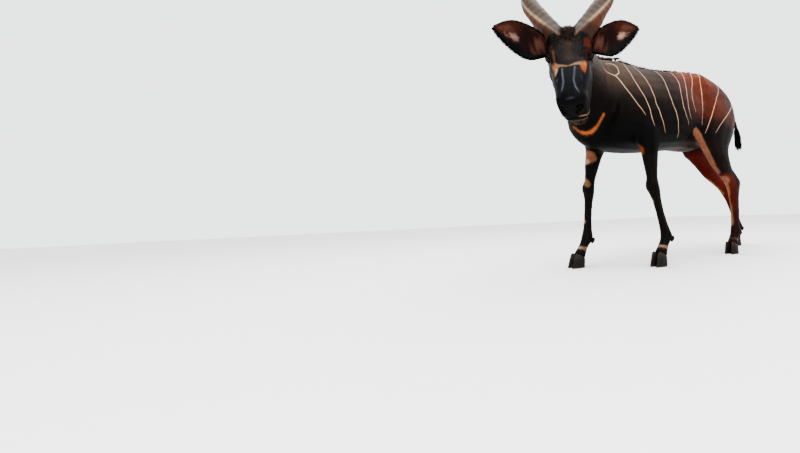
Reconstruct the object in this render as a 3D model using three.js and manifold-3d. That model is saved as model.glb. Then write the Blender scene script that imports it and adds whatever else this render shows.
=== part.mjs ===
// A standing bongo antelope bull, life size, its head lowered and turned to its left.
// Millimetres, +Z up. The animal faces -Y, and its left side is +X.
import * as THREE from "three";
import { mergeVertices } from "three/addons/utils/BufferGeometryUtils.js";
import Module from "manifold-3d";

const wasm = await Module();
wasm.setup();

// Driving sizes of the body.
const withersHeight = 1200;
const croupHeight = 1290;
const chestHeight = 622;
const ribWidth = 460;
const hipWidth = 410;
const coronetHeight = 54;
const pasternReach = 56;
const gap = 0.35;

// Driving sizes of the head and of what grows on it.
const eyeSpread = 150;
const eyeRadius = 19;
const muzzleWidth = 102;
const earLength = 248;
const earWidth = 112;
const hornLength = 745;
const hornGirth = 88;
const tailLength = 250;

// Pose of the head: the point between the eyes, and the turn, nod and tilt of the face in degrees.
const browPoint = [486, -619, 840];
const headTurn = 56.4;
const headNod = 60.4;
const headTilt = -4.4;

// Pose of the legs, joint by joint. The right foreleg and the left hind leg lead.
const legPoses = {
  fore_right: { elbow: [-160, -50, 700], knee: [-160, -108, 425], fetlock: [-158, -132, 150] },
  fore_left: { elbow: [160, 88, 700], knee: [160, 98, 415], fetlock: [152, 180, 148] },
  hind_right: { stifle: [-162, 885, 690], hock: [-112, 1206, 440], fetlock: [-104, 1312, 140] },
  hind_left: { stifle: [165, 565, 750], hock: [165, 862, 447], fetlock: [152, 850, 140] },
};

const vector = (p) => (p.isVector3 ? p.clone() : new THREE.Vector3(...p));
const shifted = (p, x, y, z) => vector(p).add(new THREE.Vector3(x, y, z));
const between = (a, b, at) => vector(a).lerp(vector(b), at);
const radians = THREE.MathUtils.degToRad;
const { clamp, lerp, smoothstep } = THREE.MathUtils;
const fullTurn = 2 * Math.PI;

// The same draw each time, from 0 to 1.
function drawFrom(seed) {
  let state = seed;
  return () => {
    state = (state * 16807) % 2147483647;
    return state / 2147483647;
  };
}

// Whether the faces of a closed form point into it, as they do on a mirrored one.
function insideOut(positions, index) {
  const corner = (i) => new THREE.Vector3().fromArray(positions, 3 * index[i]);
  let volume = 0;
  for (let i = 0; i < index.length; i += 3) {
    volume += corner(i).dot(corner(i + 1).cross(corner(i + 2)));
  }
  return volume < 0;
}

// A closed solid from a geometry whose faces share their corners once merged.
function toSolid(geometry) {
  const bare = geometry.index ? geometry.toNonIndexed() : geometry.clone();
  bare.deleteAttribute("normal");
  bare.deleteAttribute("uv");
  const merged = mergeVertices(bare, 1e-3);
  const index = merged.index.array;
  const kept = [];
  for (let i = 0; i < index.length; i += 3) {
    const [a, b, c] = index.subarray(i, i + 3);
    if (a !== b && b !== c && c !== a) kept.push(a, b, c);
  }
  const vertProperties = new Float32Array(merged.attributes.position.array);
  const facing = insideOut(vertProperties, kept) ? kept.reverse() : kept;
  return new wasm.Manifold(
    new wasm.Mesh({ numProp: 3, vertProperties, triVerts: new Uint32Array(facing) }),
  );
}

function toGeometry(solid) {
  const mesh = solid.getMesh();
  const positions = new Float32Array(mesh.numVert * 3);
  for (let i = 0; i < mesh.numVert; i++) {
    positions.set(mesh.vertProperties.subarray(i * mesh.numProp, i * mesh.numProp + 3), i * 3);
  }
  const geometry = new THREE.BufferGeometry();
  geometry.setAttribute("position", new THREE.BufferAttribute(positions, 3));
  geometry.setIndex(new THREE.BufferAttribute(new Uint32Array(mesh.triVerts), 1));
  geometry.computeVertexNormals();
  return geometry;
}

const join = (solids) => solids.reduce((sum, solid) => sum.add(solid));
const largest = (solid) =>
  solid.decompose().reduce((best, piece) => (piece.volume() > best.volume() ? piece : best));

// The two parts of a flat cut, set back by half the gap each. The first is the one the normal points to.
function cutAt(solid, point, normal) {
  const n = vector(normal).normalize();
  const offset = n.dot(vector(point));
  return [
    solid.trimByPlane([n.x, n.y, n.z], offset + gap / 2),
    solid.trimByPlane([-n.x, -n.y, -n.z], -offset + gap / 2),
  ];
}

// A closed form from a ball of rings: place(t, angle) gives each point, and both ends close to a point.
function ringed(around, along, place, matrix) {
  const geometry = new THREE.SphereGeometry(1, around, along);
  const position = geometry.attributes.position;
  for (let ring = 0; ring <= along; ring++) {
    for (let step = 0; step <= around; step++) {
      const point = place(ring / along, ((step % around) / around) * fullTurn);
      position.setXYZ(ring * (around + 1) + step, point.x, point.y, point.z);
    }
  }
  return toSolid(matrix ? geometry.applyMatrix4(matrix) : geometry);
}

// How far the surface swells at a point: each bump has a centre, a reach along each axis and a rise.
function swelling(bumps, point) {
  let rise = 0;
  for (const { at, reach, height } of bumps) {
    const off = [point.x - at[0], point.y - at[1], point.z - at[2]];
    const far = off.reduce((sum, step, axis) => sum + (step / reach[axis]) ** 2, 0);
    if (far < 6) rise += height * Math.exp(-far);
  }
  return rise;
}
const bothSides = (bumps) =>
  bumps.flatMap((bump) => [bump, { ...bump, at: [-bump.at[0], bump.at[1], bump.at[2]] }]);

// A form swept through ribs. A rib has a top and a bottom point, half its width, how far the width
// leans to the top (-1 to 1) and how square it is. Angle 0 is the bottom and half a turn the top.
function sweep(ribs, bumps = []) {
  const tops = new THREE.CatmullRomCurve3(ribs.map((rib) => vector(rib.top)));
  const bottoms = new THREE.CatmullRomCurve3(ribs.map((rib) => vector(rib.bottom)));
  const shapes = new THREE.CatmullRomCurve3(
    ribs.map((rib) => new THREE.Vector3(rib.half, 100 * (rib.lean ?? 0), 100 * (rib.square ?? 0))),
  );
  const middle = (t) => tops.getPoint(t).add(bottoms.getPoint(t)).multiplyScalar(0.5);
  function point(t, angle, grow = 0) {
    const centre = middle(t);
    const ahead = middle(Math.min(1, t + 0.01)).sub(middle(Math.max(0, t - 0.01)));
    const up = tops.getPoint(t).sub(bottoms.getPoint(t)).multiplyScalar(0.5);
    const side = ahead.cross(up).normalize();
    const [half, lean, square] = shapes.getPoint(t).toArray();
    const power = 1 - square / 200;
    const lift = -Math.sign(Math.cos(angle)) * Math.abs(Math.cos(angle)) ** power;
    const out = Math.sign(Math.sin(angle)) * Math.abs(Math.sin(angle)) ** power;
    const offset = up.multiplyScalar(lift * (1 + grow / up.length()));
    offset.addScaledVector(side, out * (half * (1 + (lean / 100) * lift) + grow));
    centre.add(offset);
    return bumps.length ? centre.addScaledVector(offset.normalize(), swelling(bumps, centre)) : centre;
  }
  const solid = (around, along, { grow = 0, matrix } = {}) =>
    ringed(around, along, (t, angle) => (t === 0 || t === 1 ? middle(t) : point(t, angle, grow)), matrix);
  return { point, middle, solid };
}

// A flat leaf that bends along a curve, curls across and tapers: an ear, or a lock of hair.
// Widths, thicknesses and curls are functions of the place from root (0) to tip (1).
// The curl is in radians.
function leaf(curve, facing, { halfWidth, thickness, curl = () => 0.01, around = 4, along = 4, matrix }) {
  return ringed(
    around,
    along,
    (t, angle) => {
      const centre = curve.getPoint(t);
      if (t === 0 || t === 1) return centre;
      const ahead = curve.getTangent(t);
      const front = facing(t).addScaledVector(ahead, -facing(t).dot(ahead)).normalize();
      const side = ahead.clone().cross(front);
      const bend = curl(t) / 2;
      const radius = halfWidth(t) / bend;
      const turn = -Math.cos(angle) * bend;
      const depth = radius - (thickness(t) / 2) * Math.sin(angle);
      return centre
        .addScaledVector(side, Math.sin(turn) * depth)
        .addScaledVector(front, radius - Math.cos(turn) * depth);
    },
    matrix,
  );
}

// Trunk and neck, one sweep from the root of the tail to the nape.
const trunkRibs = [
  { top: [0, 1105, 1062], bottom: [0, 1095, 960], half: 55 },
  { top: [0, 1082, 1146], bottom: [0, 1066, 890], half: 122, lean: -0.1 },
  { top: [0, 990, 1230], bottom: [0, 970, 820], half: 168, lean: -0.1 },
  { top: [0, 860, 1278], bottom: [0, 855, 762], half: 0.475 * hipWidth, lean: -0.15 },
  { top: [0, 742, croupHeight], bottom: [0, 745, 712], half: 0.5 * hipWidth, lean: -0.2 },
  { top: [0, 600, 1270], bottom: [0, 620, 676], half: 0.49 * hipWidth, lean: -0.3 },
  { top: [0, 450, 1238], bottom: [0, 480, chestHeight + 54], half: 0.47 * ribWidth, lean: -0.34 },
  { top: [0, 310, 1212], bottom: [0, 335, chestHeight + 34], half: 0.5 * ribWidth, lean: -0.34 },
  { top: [0, 180, 1200], bottom: [0, 190, chestHeight + 14], half: 0.475 * ribWidth, lean: -0.36 },
  { top: [0, 60, withersHeight], bottom: [0, 50, chestHeight], half: 0.42 * ribWidth, lean: -0.36 },
  { top: [0, -45, 1192], bottom: [0, -105, chestHeight], half: 0.385 * ribWidth, lean: -0.28, square: 0.15 },
  { top: [14, -135, 1172], bottom: [4, -222, 648], half: 148, lean: -0.24, square: 0.15 },
  { top: [60, -218, 1152], bottom: [66, -278, 742], half: 113, lean: -0.12 },
  { top: [135, -305, 1124], bottom: [160, -330, 812], half: 93 },
  { top: [228, -398, 1084], bottom: [214, -418, 830], half: 87 },
  { top: [325, -492, 1032], bottom: [284, -490, 820], half: 84 },
  { top: [404, -568, 974], bottom: [342, -545, 800], half: 74 },
  { top: [440, -600, 930], bottom: [400, -575, 815], half: 48 },
];
const trunkBumps = bothSides([
  { at: [165, 10, 1010], reach: [120, 120, 150], height: 14 },
  { at: [170, -140, 840], reach: [90, 80, 95], height: 34 },
  { at: [185, 40, 790], reach: [110, 110, 110], height: 16 },
  { at: [150, 695, 1200], reach: [60, 45, 45], height: 20 },
  { at: [60, 760, 1290], reach: [60, 60, 45], height: 14 },
  { at: [185, 560, 1060], reach: [80, 75, 100], height: -14 },
  { at: [130, -70, 1070], reach: [60, 45, 110], height: -8 },
  { at: [75, 1085, 990], reach: [60, 60, 60], height: 12 },
]);
const trunk = sweep(trunkRibs, trunkBumps);

// A rib of a leg lies across the bone between two joints: its reach before and behind the bone, and
// half its breadth.
function legRib(from, to, at, before, behind, half, square = 0) {
  const bone = vector(to).sub(vector(from)).normalize();
  const forward = new THREE.Vector3(0, -1, 0);
  forward.addScaledVector(bone, -forward.dot(bone)).normalize();
  const point = between(from, to, at);
  return {
    top: point.clone().addScaledVector(forward, before),
    bottom: point.clone().addScaledVector(forward, -behind),
    half,
    square,
  };
}

// A rib at a joint, across the middle of its bend.
function jointRib(above, joint, below, before, behind, half) {
  const into = vector(joint).sub(vector(above)).normalize();
  const bone = vector(below).sub(vector(joint)).normalize().add(into);
  return legRib(joint, vector(joint).add(bone), 0, before, behind, half, 0.15);
}

const coronetOf = ({ fetlock }) =>
  new THREE.Vector3(fetlock[0], fetlock[1] - pasternReach, coronetHeight);

// From the fetlock down both kinds of leg are alike.
function footRibs(pose, size) {
  const coronet = coronetOf(pose);
  return [
    legRib(pose.fetlock, coronet, 0.3, 27 * size, 29 * size, 30 * size),
    legRib(pose.fetlock, coronet, 0.65, 25 * size, 25 * size, 30 * size),
    legRib(pose.fetlock, coronet, 1, 31 * size, 29 * size, 36 * size, 0.2),
    legRib(pose.fetlock, coronet, 1.3, 24 * size, 22 * size, 28 * size),
  ];
}

function forelegSweep(pose) {
  const { elbow, knee, fetlock } = pose;
  const shoulder = shifted(elbow, -Math.sign(elbow[0]) * 16, -40, 190);
  return sweep([
    legRib(shoulder, elbow, 0, 70, 70, 26),
    legRib(shoulder, elbow, 0.35, 108, 108, 58),
    legRib(shoulder, elbow, 0.8, 94, 98, 62),
    legRib(elbow, knee, 0.08, 76, 80, 56),
    legRib(elbow, knee, 0.28, 60, 60, 49),
    legRib(elbow, knee, 0.55, 46, 46, 41),
    legRib(elbow, knee, 0.8, 35, 35, 34),
    legRib(elbow, knee, 0.93, 37, 35, 37, 0.2),
    jointRib(elbow, knee, fetlock, 39, 37, 39),
    legRib(knee, fetlock, 0.11, 33, 37, 35, 0.2),
    legRib(knee, fetlock, 0.26, 25, 30, 27),
    legRib(knee, fetlock, 0.6, 24, 28, 24),
    legRib(knee, fetlock, 0.84, 26, 32, 27),
    jointRib(knee, fetlock, coronetOf(pose), 33, 39, 34),
    ...footRibs(pose, 1),
  ]);
}

function hindlegSweep(pose) {
  const { stifle, hock, fetlock } = pose;
  const side = Math.sign(stifle[0]);
  const flank = new THREE.Vector3(side * 118, lerp(640, stifle[1], 0.12), 1120);
  const seat = new THREE.Vector3(side * 92, 1085, 1060);
  const buttock = new THREE.Vector3(side * 112, lerp(1085, hock[1], 0.12), 940);
  const kneecap = shifted(stifle, 0, -90, 8);
  const shank = vector(hock).sub(vector(stifle)).normalize();
  const calfRib = (at, before, behind, half, down) => {
    const rib = legRib(stifle, hock, at, before, behind, half);
    rib.bottom.addScaledVector(shank, down);
    return rib;
  };
  const gaskinBack = calfRib(0.36, 0, 160, 0, 92).bottom;
  const thighBack = between(buttock, gaskinBack, 0.55).add(new THREE.Vector3(side * 14, -6, 0));
  const thighFront = between(flank, kneecap, 0.6).add(new THREE.Vector3(side * 10, -8, 0));
  return sweep([
    { top: shifted(flank, -side * 40, 70, 30), bottom: shifted(seat, -side * 40, -70, 20), half: 26 },
    { top: shifted(flank, -side * 12, 10, 0), bottom: shifted(seat, -side * 10, -8, 0), half: 70 },
    { top: between(flank, thighFront, 0.55), bottom: buttock, half: 90 },
    { top: thighFront, bottom: thighBack, half: 90 },
    { top: kneecap, bottom: between(thighBack, gaskinBack, 0.5), half: 78 },
    { top: between(kneecap, hock, 0.16), bottom: gaskinBack, half: 62 },
    calfRib(0.47, 66, 114, 52, 78),
    calfRib(0.66, 60, 93, 42, 36),
    calfRib(0.82, 58, 78, 36, 6),
    jointRib(stifle, hock, fetlock, 66, 84, 39),
    legRib(hock, fetlock, 0.13, 52, 64, 37),
    legRib(hock, fetlock, 0.28, 37, 55, 31),
    legRib(hock, fetlock, 0.6, 29, 47, 27),
    legRib(hock, fetlock, 0.85, 28, 34, 28),
    jointRib(hock, fetlock, coronetOf(pose), 33, 41, 35),
    ...footRibs(pose, 1.02),
  ]);
}

// The head has a frame of its own: the nose lies towards -Y, the forehead towards +Z, and the middle
// of the line between the eyes is the origin. The lower jaw is set a little to the left, as in chewing.
const headMatrix = new THREE.Matrix4()
  .makeTranslation(...browPoint)
  .multiply(new THREE.Matrix4().makeRotationZ(radians(headTurn)))
  .multiply(new THREE.Matrix4().makeRotationX(radians(headNod)))
  .multiply(new THREE.Matrix4().makeRotationY(radians(headTilt)));
const headPoint = (x, y, z) => new THREE.Vector3(x, y, z).applyMatrix4(headMatrix);

const jawShift = 24;
const headRibs = [
  { top: [0, -246, -24], bottom: [jawShift, -243, -72], half: 0.25 * muzzleWidth, square: 0.3 },
  { top: [0, -240, -4], bottom: [jawShift, -238, -94], half: 0.41 * muzzleWidth, square: 0.35, lean: 0.12 },
  { top: [0, -222, 10], bottom: [jawShift, -218, -116], half: 0.49 * muzzleWidth, square: 0.35, lean: 0.2 },
  { top: [-3, -190, 20], bottom: [jawShift, -184, -120], half: 0.52 * muzzleWidth, square: 0.3, lean: 0.24 },
  { top: [-4, -155, 28], bottom: [jawShift, -146, -117], half: 60, square: 0.25, lean: 0.24 },
  { top: [-2, -118, 35], bottom: [0.8 * jawShift, -106, -116], half: 69, square: 0.2, lean: 0.16 },
  { top: [0, -80, 42], bottom: [0.5 * jawShift, -66, -122], half: 73, square: 0.2, lean: 0.1 },
  { top: [0, -44, 50], bottom: [0, -28, -131], half: 78, square: 0.15, lean: 0.1 },
  { top: [0, -5, 60], bottom: [0, 12, -141], half: 79, square: 0.15, lean: 0.12 },
  { top: [0, 36, 68], bottom: [0, 52, -142], half: 79, square: 0.15, lean: 0.12 },
  { top: [0, 72, 72], bottom: [0, 90, -126], half: 76, square: 0.15, lean: 0.12 },
  { top: [0, 102, 67], bottom: [0, 118, -102], half: 68, square: 0.1, lean: 0.12 },
  { top: [0, 124, 50], bottom: [0, 134, -70], half: 54, lean: 0.1 },
  { top: [0, 136, 22], bottom: [0, 142, -40], half: 30 },
];
const headBumps = bothSides([
  { at: [70, 0, 20], reach: [40, 32, 20], height: 11 },
  { at: [70, 0, -16], reach: [40, 30, 16], height: 4 },
  { at: [60, -30, 2], reach: [30, 14, 22], height: -5 },
  { at: [68, 40, -76], reach: [40, 50, 40], height: 9 },
  { at: [44, -215, -12], reach: [20, 20, 20], height: 4 },
  { at: [42, -150, -64], reach: [40, 60, 14], height: 5 },
  { at: [36, -190, -92], reach: [40, 36, 16], height: 3 },
  { at: [56, 62, 64], reach: [36, 40, 34], height: 20 },
  { at: [82, 46, 36], reach: [44, 40, 40], height: 13 },
  { at: [50, -120, -22], reach: [30, 50, 20], height: -4 },
]);
const head = sweep(headRibs, headBumps);
const headSolid = (grow = 0, around = 28, along = 36) =>
  head.solid(around, along, { grow, matrix: headMatrix });

const body = new THREE.Group();
const materials = {
  chestnut: new THREE.MeshStandardMaterial({ color: 0x5a2614, roughness: 0.75 }),
  darkCoat: new THREE.MeshStandardMaterial({ color: 0x1b1311, roughness: 0.75 }),
  horn: new THREE.MeshStandardMaterial({ color: 0x6d5a4a, roughness: 0.55 }),
  hoof: new THREE.MeshStandardMaterial({ color: 0x4a423b, roughness: 0.5 }),
  eye: new THREE.MeshStandardMaterial({ color: 0x0c0807, roughness: 0.08 }),
};
function addNode(name, solid, material) {
  const mesh = new THREE.Mesh(toGeometry(largest(solid)), materials[material]);
  mesh.name = name;
  body.add(mesh);
}

// Each eye is a ball that looks out and a little forward and up, under a hood of lids open along an almond.
const lidThickness = 3.4;
const almondHalf = 17;
const almondRise = 10;
const ball = (radius, matrix) => toSolid(new THREE.SphereGeometry(radius, 14, 10).applyMatrix4(matrix));
const eyeMatrix = (side) =>
  headMatrix
    .clone()
    .multiply(new THREE.Matrix4().makeTranslation(side * (eyeSpread / 2 - 7), 0, 6))
    .multiply(new THREE.Matrix4().makeRotationZ(side * radians(-40)))
    .multiply(new THREE.Matrix4().makeRotationY(side * radians(-12)));

function almond(side) {
  const outline = new THREE.Shape();
  outline.moveTo(-almondHalf, 1);
  outline.quadraticCurveTo(-1, 2 * almondRise, almondHalf, -4);
  outline.quadraticCurveTo(-1, -1.7 * almondRise, -almondHalf, 1);
  const settings = { depth: 3 * eyeRadius, bevelEnabled: false, curveSegments: 5 };
  const lookOut = vector([side, 0, 0]);
  const outward = new THREE.Matrix4().makeBasis(vector([0, -1, 0]), vector([0, 0, 1]), lookOut);
  const matrix = eyeMatrix(side).multiply(outward);
  return toSolid(new THREE.ExtrudeGeometry(outline, settings).applyMatrix4(matrix));
}

// The line of the mouth: a thin plate across the muzzle that cuts in as deep as the lips are full.
const lipDepth = 6;
const mouthSlit = 2.4;
function mouth() {
  const line = new THREE.SplineCurve([
    new THREE.Vector2(-268, -70),
    new THREE.Vector2(-228, -76),
    new THREE.Vector2(-188, -84),
    new THREE.Vector2(-152, -80),
    new THREE.Vector2(-126, -72),
  ]);
  const upper = line.getPoints(6).map((p) => new THREE.Vector2(p.x, p.y + mouthSlit / 2));
  const lower = line.getPoints(6).map((p) => new THREE.Vector2(p.x, p.y - mouthSlit / 2));
  const outline = new THREE.Shape([...upper, ...lower.reverse()]);
  const across = 2 * muzzleWidth;
  const plate = new THREE.ExtrudeGeometry(outline, { depth: across, bevelEnabled: false });
  plate.translate(0, 0, -across / 2);
  const onEdge = new THREE.Matrix4().makeBasis(vector([0, 1, 0]), vector([0, 0, 1]), vector([1, 0, 0]));
  plate.applyMatrix4(headMatrix.clone().multiply(onEdge));
  return toSolid(plate).subtract(headSolid(-lipDepth, 20, 24));
}

function nostril(side) {
  const matrix = headMatrix
    .clone()
    .multiply(new THREE.Matrix4().makeTranslation(side * 29, -241, -28))
    .multiply(new THREE.Matrix4().makeRotationZ(side * radians(38)))
    .multiply(new THREE.Matrix4().makeRotationX(radians(24)))
    .multiply(new THREE.Matrix4().makeScale(0.62, 1.15, 1));
  return ball(11, matrix);
}

function addHead() {
  let skull = headSolid();
  for (const side of [-1, 1]) {
    skull = skull.add(ball(eyeRadius + lidThickness, eyeMatrix(side)));
  }
  for (const side of [-1, 1]) {
    const socket = ball(eyeRadius + gap, eyeMatrix(side));
    skull = skull.subtract(almond(side)).subtract(socket).subtract(nostril(side));
    addNode(side > 0 ? "eye_left" : "eye_right", ball(eyeRadius, eyeMatrix(side)), "eye");
  }
  addNode("head", skull.subtract(mouth()), "darkCoat");
}

// Horn: a keeled lyre that leans out from the brow, bends back and makes one slow turn about itself.
const hornRoot = [22, 50, 22];
const hornSpread = 160;
const hornLift = 0.45;
const hornTwist = radians(300);
const keelStart = radians(6);
function hornSolid(side) {
  const steps = 14;
  const reach = 0.9 * hornLength;
  const points = Array.from({ length: steps + 1 }, (_, i) => {
    const t = i / steps;
    const out = hornSpread * (1 - ((t - 0.6) / 0.6) ** 2);
    const rise = reach * (hornLift * t - 0.5 * t ** 2);
    return new THREE.Vector3(side * (hornRoot[0] + out), hornRoot[1] + reach * t, hornRoot[2] + rise);
  });
  const curve = new THREE.CatmullRomCurve3(points);
  function place(t, angle) {
    const centre = curve.getPoint(t);
    if (t === 0 || t === 1) return centre;
    const ahead = curve.getTangent(t);
    const front = new THREE.Vector3(0, 0, 1).addScaledVector(ahead, -ahead.z).normalize();
    const out = front.clone().cross(ahead).multiplyScalar(side);
    const girth = (hornGirth / 2) * (1 - t) ** 0.9 + 2 * t;
    const keel = 1 + 0.26 * Math.max(0, Math.cos(angle)) ** 8 - 0.05 * Math.cos(2 * angle);
    const round = angle + keelStart + hornTwist * t;
    return centre
      .addScaledVector(front, Math.cos(round) * girth * keel)
      .addScaledVector(out, -Math.sin(round) * girth * keel);
  }
  return ringed(14, 22, place, headMatrix);
}

// Ear: a broad cup that narrows to a pointed tip and rolls into its root.
const earRoot = [58, 60, -9];
const earLeans = { left: [0.887, 0.464, 0.06], right: [0.891, 0.218, 0.395] };
function earSolid(side) {
  const lean = side > 0 ? earLeans.left : earLeans.right;
  const at = (part, rise) =>
    headPoint(
      side * (earRoot[0] + part * earLength * lean[0]),
      earRoot[1] + part * earLength * lean[1],
      earRoot[2] + part * earLength * lean[2] + rise,
    );
  const curve = new THREE.CatmullRomCurve3([at(0, 0), at(0.3, -7), at(0.66, 8), at(1, 0)]);
  const openWay = headPoint(side * 0.25, -0.75, 0.62).sub(headPoint(0, 0, 0));
  return leaf(curve, () => openWay.clone(), {
    halfWidth: (t) => (earWidth / 2) * (0.36 + 0.72 * Math.sin(Math.PI * t ** 0.8) ** 0.8) * (1 - t ** 7),
    thickness: (t) => 6 - 2.5 * t,
    curl: (t) => lerp(3.8, 0.9, smoothstep(t, 0, 0.5)),
    around: 12,
    along: 13,
  });
}

function addHorns() {
  const hidden = headSolid(gap);
  for (const side of [-1, 1]) {
    const name = side > 0 ? "left" : "right";
    const horn = hornSolid(side).subtract(hidden);
    addNode(`horn_${name}`, horn, "horn");
    addNode(`ear_${name}`, earSolid(side).subtract(hidden).subtract(hornSolid(side)), "darkCoat");
  }
}

// The neck takes all that lies ahead of a slanted plane and above the elbows.
const neckPlace = 0.62;
const neckFloor = 620;
function neckRegion(grow) {
  const size = 3000;
  const block = new THREE.BoxGeometry(size, size, size);
  block.translate(0, 0, size / 2 + neckFloor - grow);
  const ahead = trunk.middle(neckPlace + 0.02).sub(trunk.middle(neckPlace - 0.02)).normalize();
  return toSolid(block).trimByPlane(ahead.toArray(), ahead.dot(trunk.middle(neckPlace)) - grow);
}

// Legs are parted from the trunk by a slanted plane each.
// The rest of the plane's reach stays clear of the trunk.
function legRegion(side, point, slope, grow) {
  const size = 3000;
  const block = new THREE.BoxGeometry(size, size, size);
  block.translate(side * (size / 2 + 25 - grow), 0, size / 2 - 200);
  const normal = new THREE.Vector3(-side * slope[0], -slope[1], 1).normalize();
  return toSolid(block).trimByPlane([-normal.x, -normal.y, -normal.z], -normal.dot(vector(point)) - grow);
}

// The coronet slopes down to the heel, and the hooves hang from it.
const coronetSlope = 0.45;
const hoofTop = (coronet, y) => coronetHeight + 8 - coronetSlope * (y - coronet.y);

function hoofSolid(coronet, side, size) {
  const geometry = new THREE.CylinderGeometry(1, 1, 1, 14, 2);
  const position = geometry.attributes.position;
  for (let i = 0; i < position.count; i++) {
    const height = position.getY(i) + 0.5;
    const across = position.getX(i);
    const along = position.getZ(i);
    const toe = Math.max(0, -along);
    const breadth = size * lerp(17.5, 15.5, height) * (1 - 0.45 * toe ** 2);
    const reach = size * (along < 0 ? lerp(52, 32, height) : lerp(30, 28, height));
    const x = coronet.x + side * (17.6 * size + 1.2 + 3 * toe) + across * breadth;
    const y = coronet.y - 5 * (1 - height) + along * reach;
    position.setXYZ(i, x, y, height * hoofTop(coronet, y));
  }
  return toSolid(geometry);
}

function dewclawSolid(fetlock, side) {
  const matrix = new THREE.Matrix4()
    .makeTranslation(fetlock[0] + side * 17, fetlock[1] + 36, fetlock[2] - 16)
    .multiply(new THREE.Matrix4().makeRotationX(radians(-35)))
    .multiply(new THREE.Matrix4().makeScale(10, 9, 17));
  return toSolid(new THREE.SphereGeometry(1, 7, 5).applyMatrix4(matrix));
}

function addLeg(name, pose, leg, upper) {
  const coronet = coronetOf(pose);
  const joint = pose.knee ?? pose.hock;
  const below = between(joint, pose.fetlock, 0.16);
  const [above, lower] = cutAt(upper, below, vector(joint).sub(vector(pose.fetlock)));
  const rim = new THREE.Vector3(0, coronetSlope, 1).normalize();
  const rimOffset = rim.dot(new THREE.Vector3(coronet.x, coronet.y, hoofTop(coronet, coronet.y)));
  const shank = lower.trimByPlane(rim.toArray(), rimOffset + gap);
  addNode(`${name}_upper`, above, "chestnut");
  addNode(`${name}_lower`, shank, "darkCoat");
  const hidden = leg.solid(12, 34, { grow: gap });
  for (const side of [-1, 1]) {
    const claw = side * Math.sign(coronet.x) > 0 ? "outer" : "inner";
    addNode(`hoof_${name}_${claw}`, hoofSolid(coronet, side, 1), "hoof");
    addNode(`dewclaw_${name}_${claw}`, dewclawSolid(pose.fetlock, side).subtract(hidden), "hoof");
  }
}

// Locks of the short mane along the neck and back, each a flat leaf with its root sunk in the coat.
function crestLock(root, up, back, side, draw) {
  const reach = lerp(40, 58, draw());
  const lean = lerp(0.5, 0.85, draw());
  const wander = lerp(-0.25, 0.25, draw());
  const fall = back.clone().addScaledVector(side, wander);
  const along = (rise, drift) =>
    root.clone().addScaledVector(up, rise * reach).addScaledVector(fall, drift * reach);
  const curve = new THREE.QuadraticBezierCurve3(along(-0.3, -0.2), along(0.35, 0.15), along(0.45, lean));
  const face = side.clone().addScaledVector(up, lerp(-0.5, 0.5, draw())).normalize();
  const breadth = lerp(7, 10, draw());
  return leaf(curve, () => face.clone(), {
    halfWidth: (t) => breadth * (1 - t ** 2) ** 0.6,
    thickness: (t) => 4 - 2 * t,
  });
}

// The crest runs along the sweep from one place to another, in a few rows.
function crest(from, to, count, seed) {
  const draw = drawFrom(seed);
  const locks = [];
  for (let i = 0; i < count; i++) {
    const t = lerp(from, to, (i + 0.6 * draw()) / count);
    const angle = Math.PI + lerp(-0.07, 0.07, (i % 3) / 2);
    const root = trunk.point(t, angle);
    const back = trunk.point(t - 0.01, angle).sub(root).normalize();
    const up = root.clone().sub(trunk.middle(t)).normalize();
    const side = up.clone().cross(back).normalize();
    locks.push(crestLock(root, up, back, side, draw));
  }
  return locks;
}

// Tail: a slender stem, held a little away from the rump, with a tuft of long locks.
const tailRoot = new THREE.Vector3(0, 1092, 1062);
const tailPath = new THREE.CatmullRomCurve3([
  tailRoot,
  shifted(tailRoot, 6, 78, -10),
  shifted(tailRoot, 20, 136, -0.31 * tailLength),
  shifted(tailRoot, 32, 142, -0.64 * tailLength),
  shifted(tailRoot, 38, 130, -tailLength),
]);
const tailGirth = (t) => lerp(21, 11, t ** 0.7);

function tailSolid() {
  const stem = ringed(8, 14, (t, angle) => {
    const centre = tailPath.getPoint(t);
    if (t === 0 || t === 1) return centre;
    const ahead = tailPath.getTangent(t);
    const front = new THREE.Vector3(1, 0, 0).addScaledVector(ahead, -ahead.x).normalize();
    return centre
      .addScaledVector(front, Math.cos(angle) * tailGirth(t))
      .addScaledVector(ahead.cross(front), Math.sin(angle) * tailGirth(t));
  });
  const draw = drawFrom(77);
  const locks = [];
  const count = 11;
  for (let i = 0; i < count; i++) {
    const t = lerp(0.72, 0.97, i / (count - 1));
    const angle = i * 2.4;
    const out = new THREE.Vector3(Math.cos(angle), Math.sin(angle), 0);
    const root = tailPath.getPoint(t);
    const fall = lerp(75, 112, draw());
    const spread = lerp(24, 40, draw());
    const curve = new THREE.QuadraticBezierCurve3(
      root.clone(),
      root.clone().addScaledVector(out, spread).add(new THREE.Vector3(0, 0, -0.4 * fall)),
      root.clone().addScaledVector(out, 0.6 * spread).add(new THREE.Vector3(0, 0, -fall)),
    );
    locks.push(
      leaf(curve, () => out.clone(), {
        halfWidth: (place) => 14 * (1 - place ** 2) ** 0.6,
        thickness: (place) => 5 - 3 * place,
      }),
    );
  }
  return join([stem, ...locks]);
}

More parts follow.
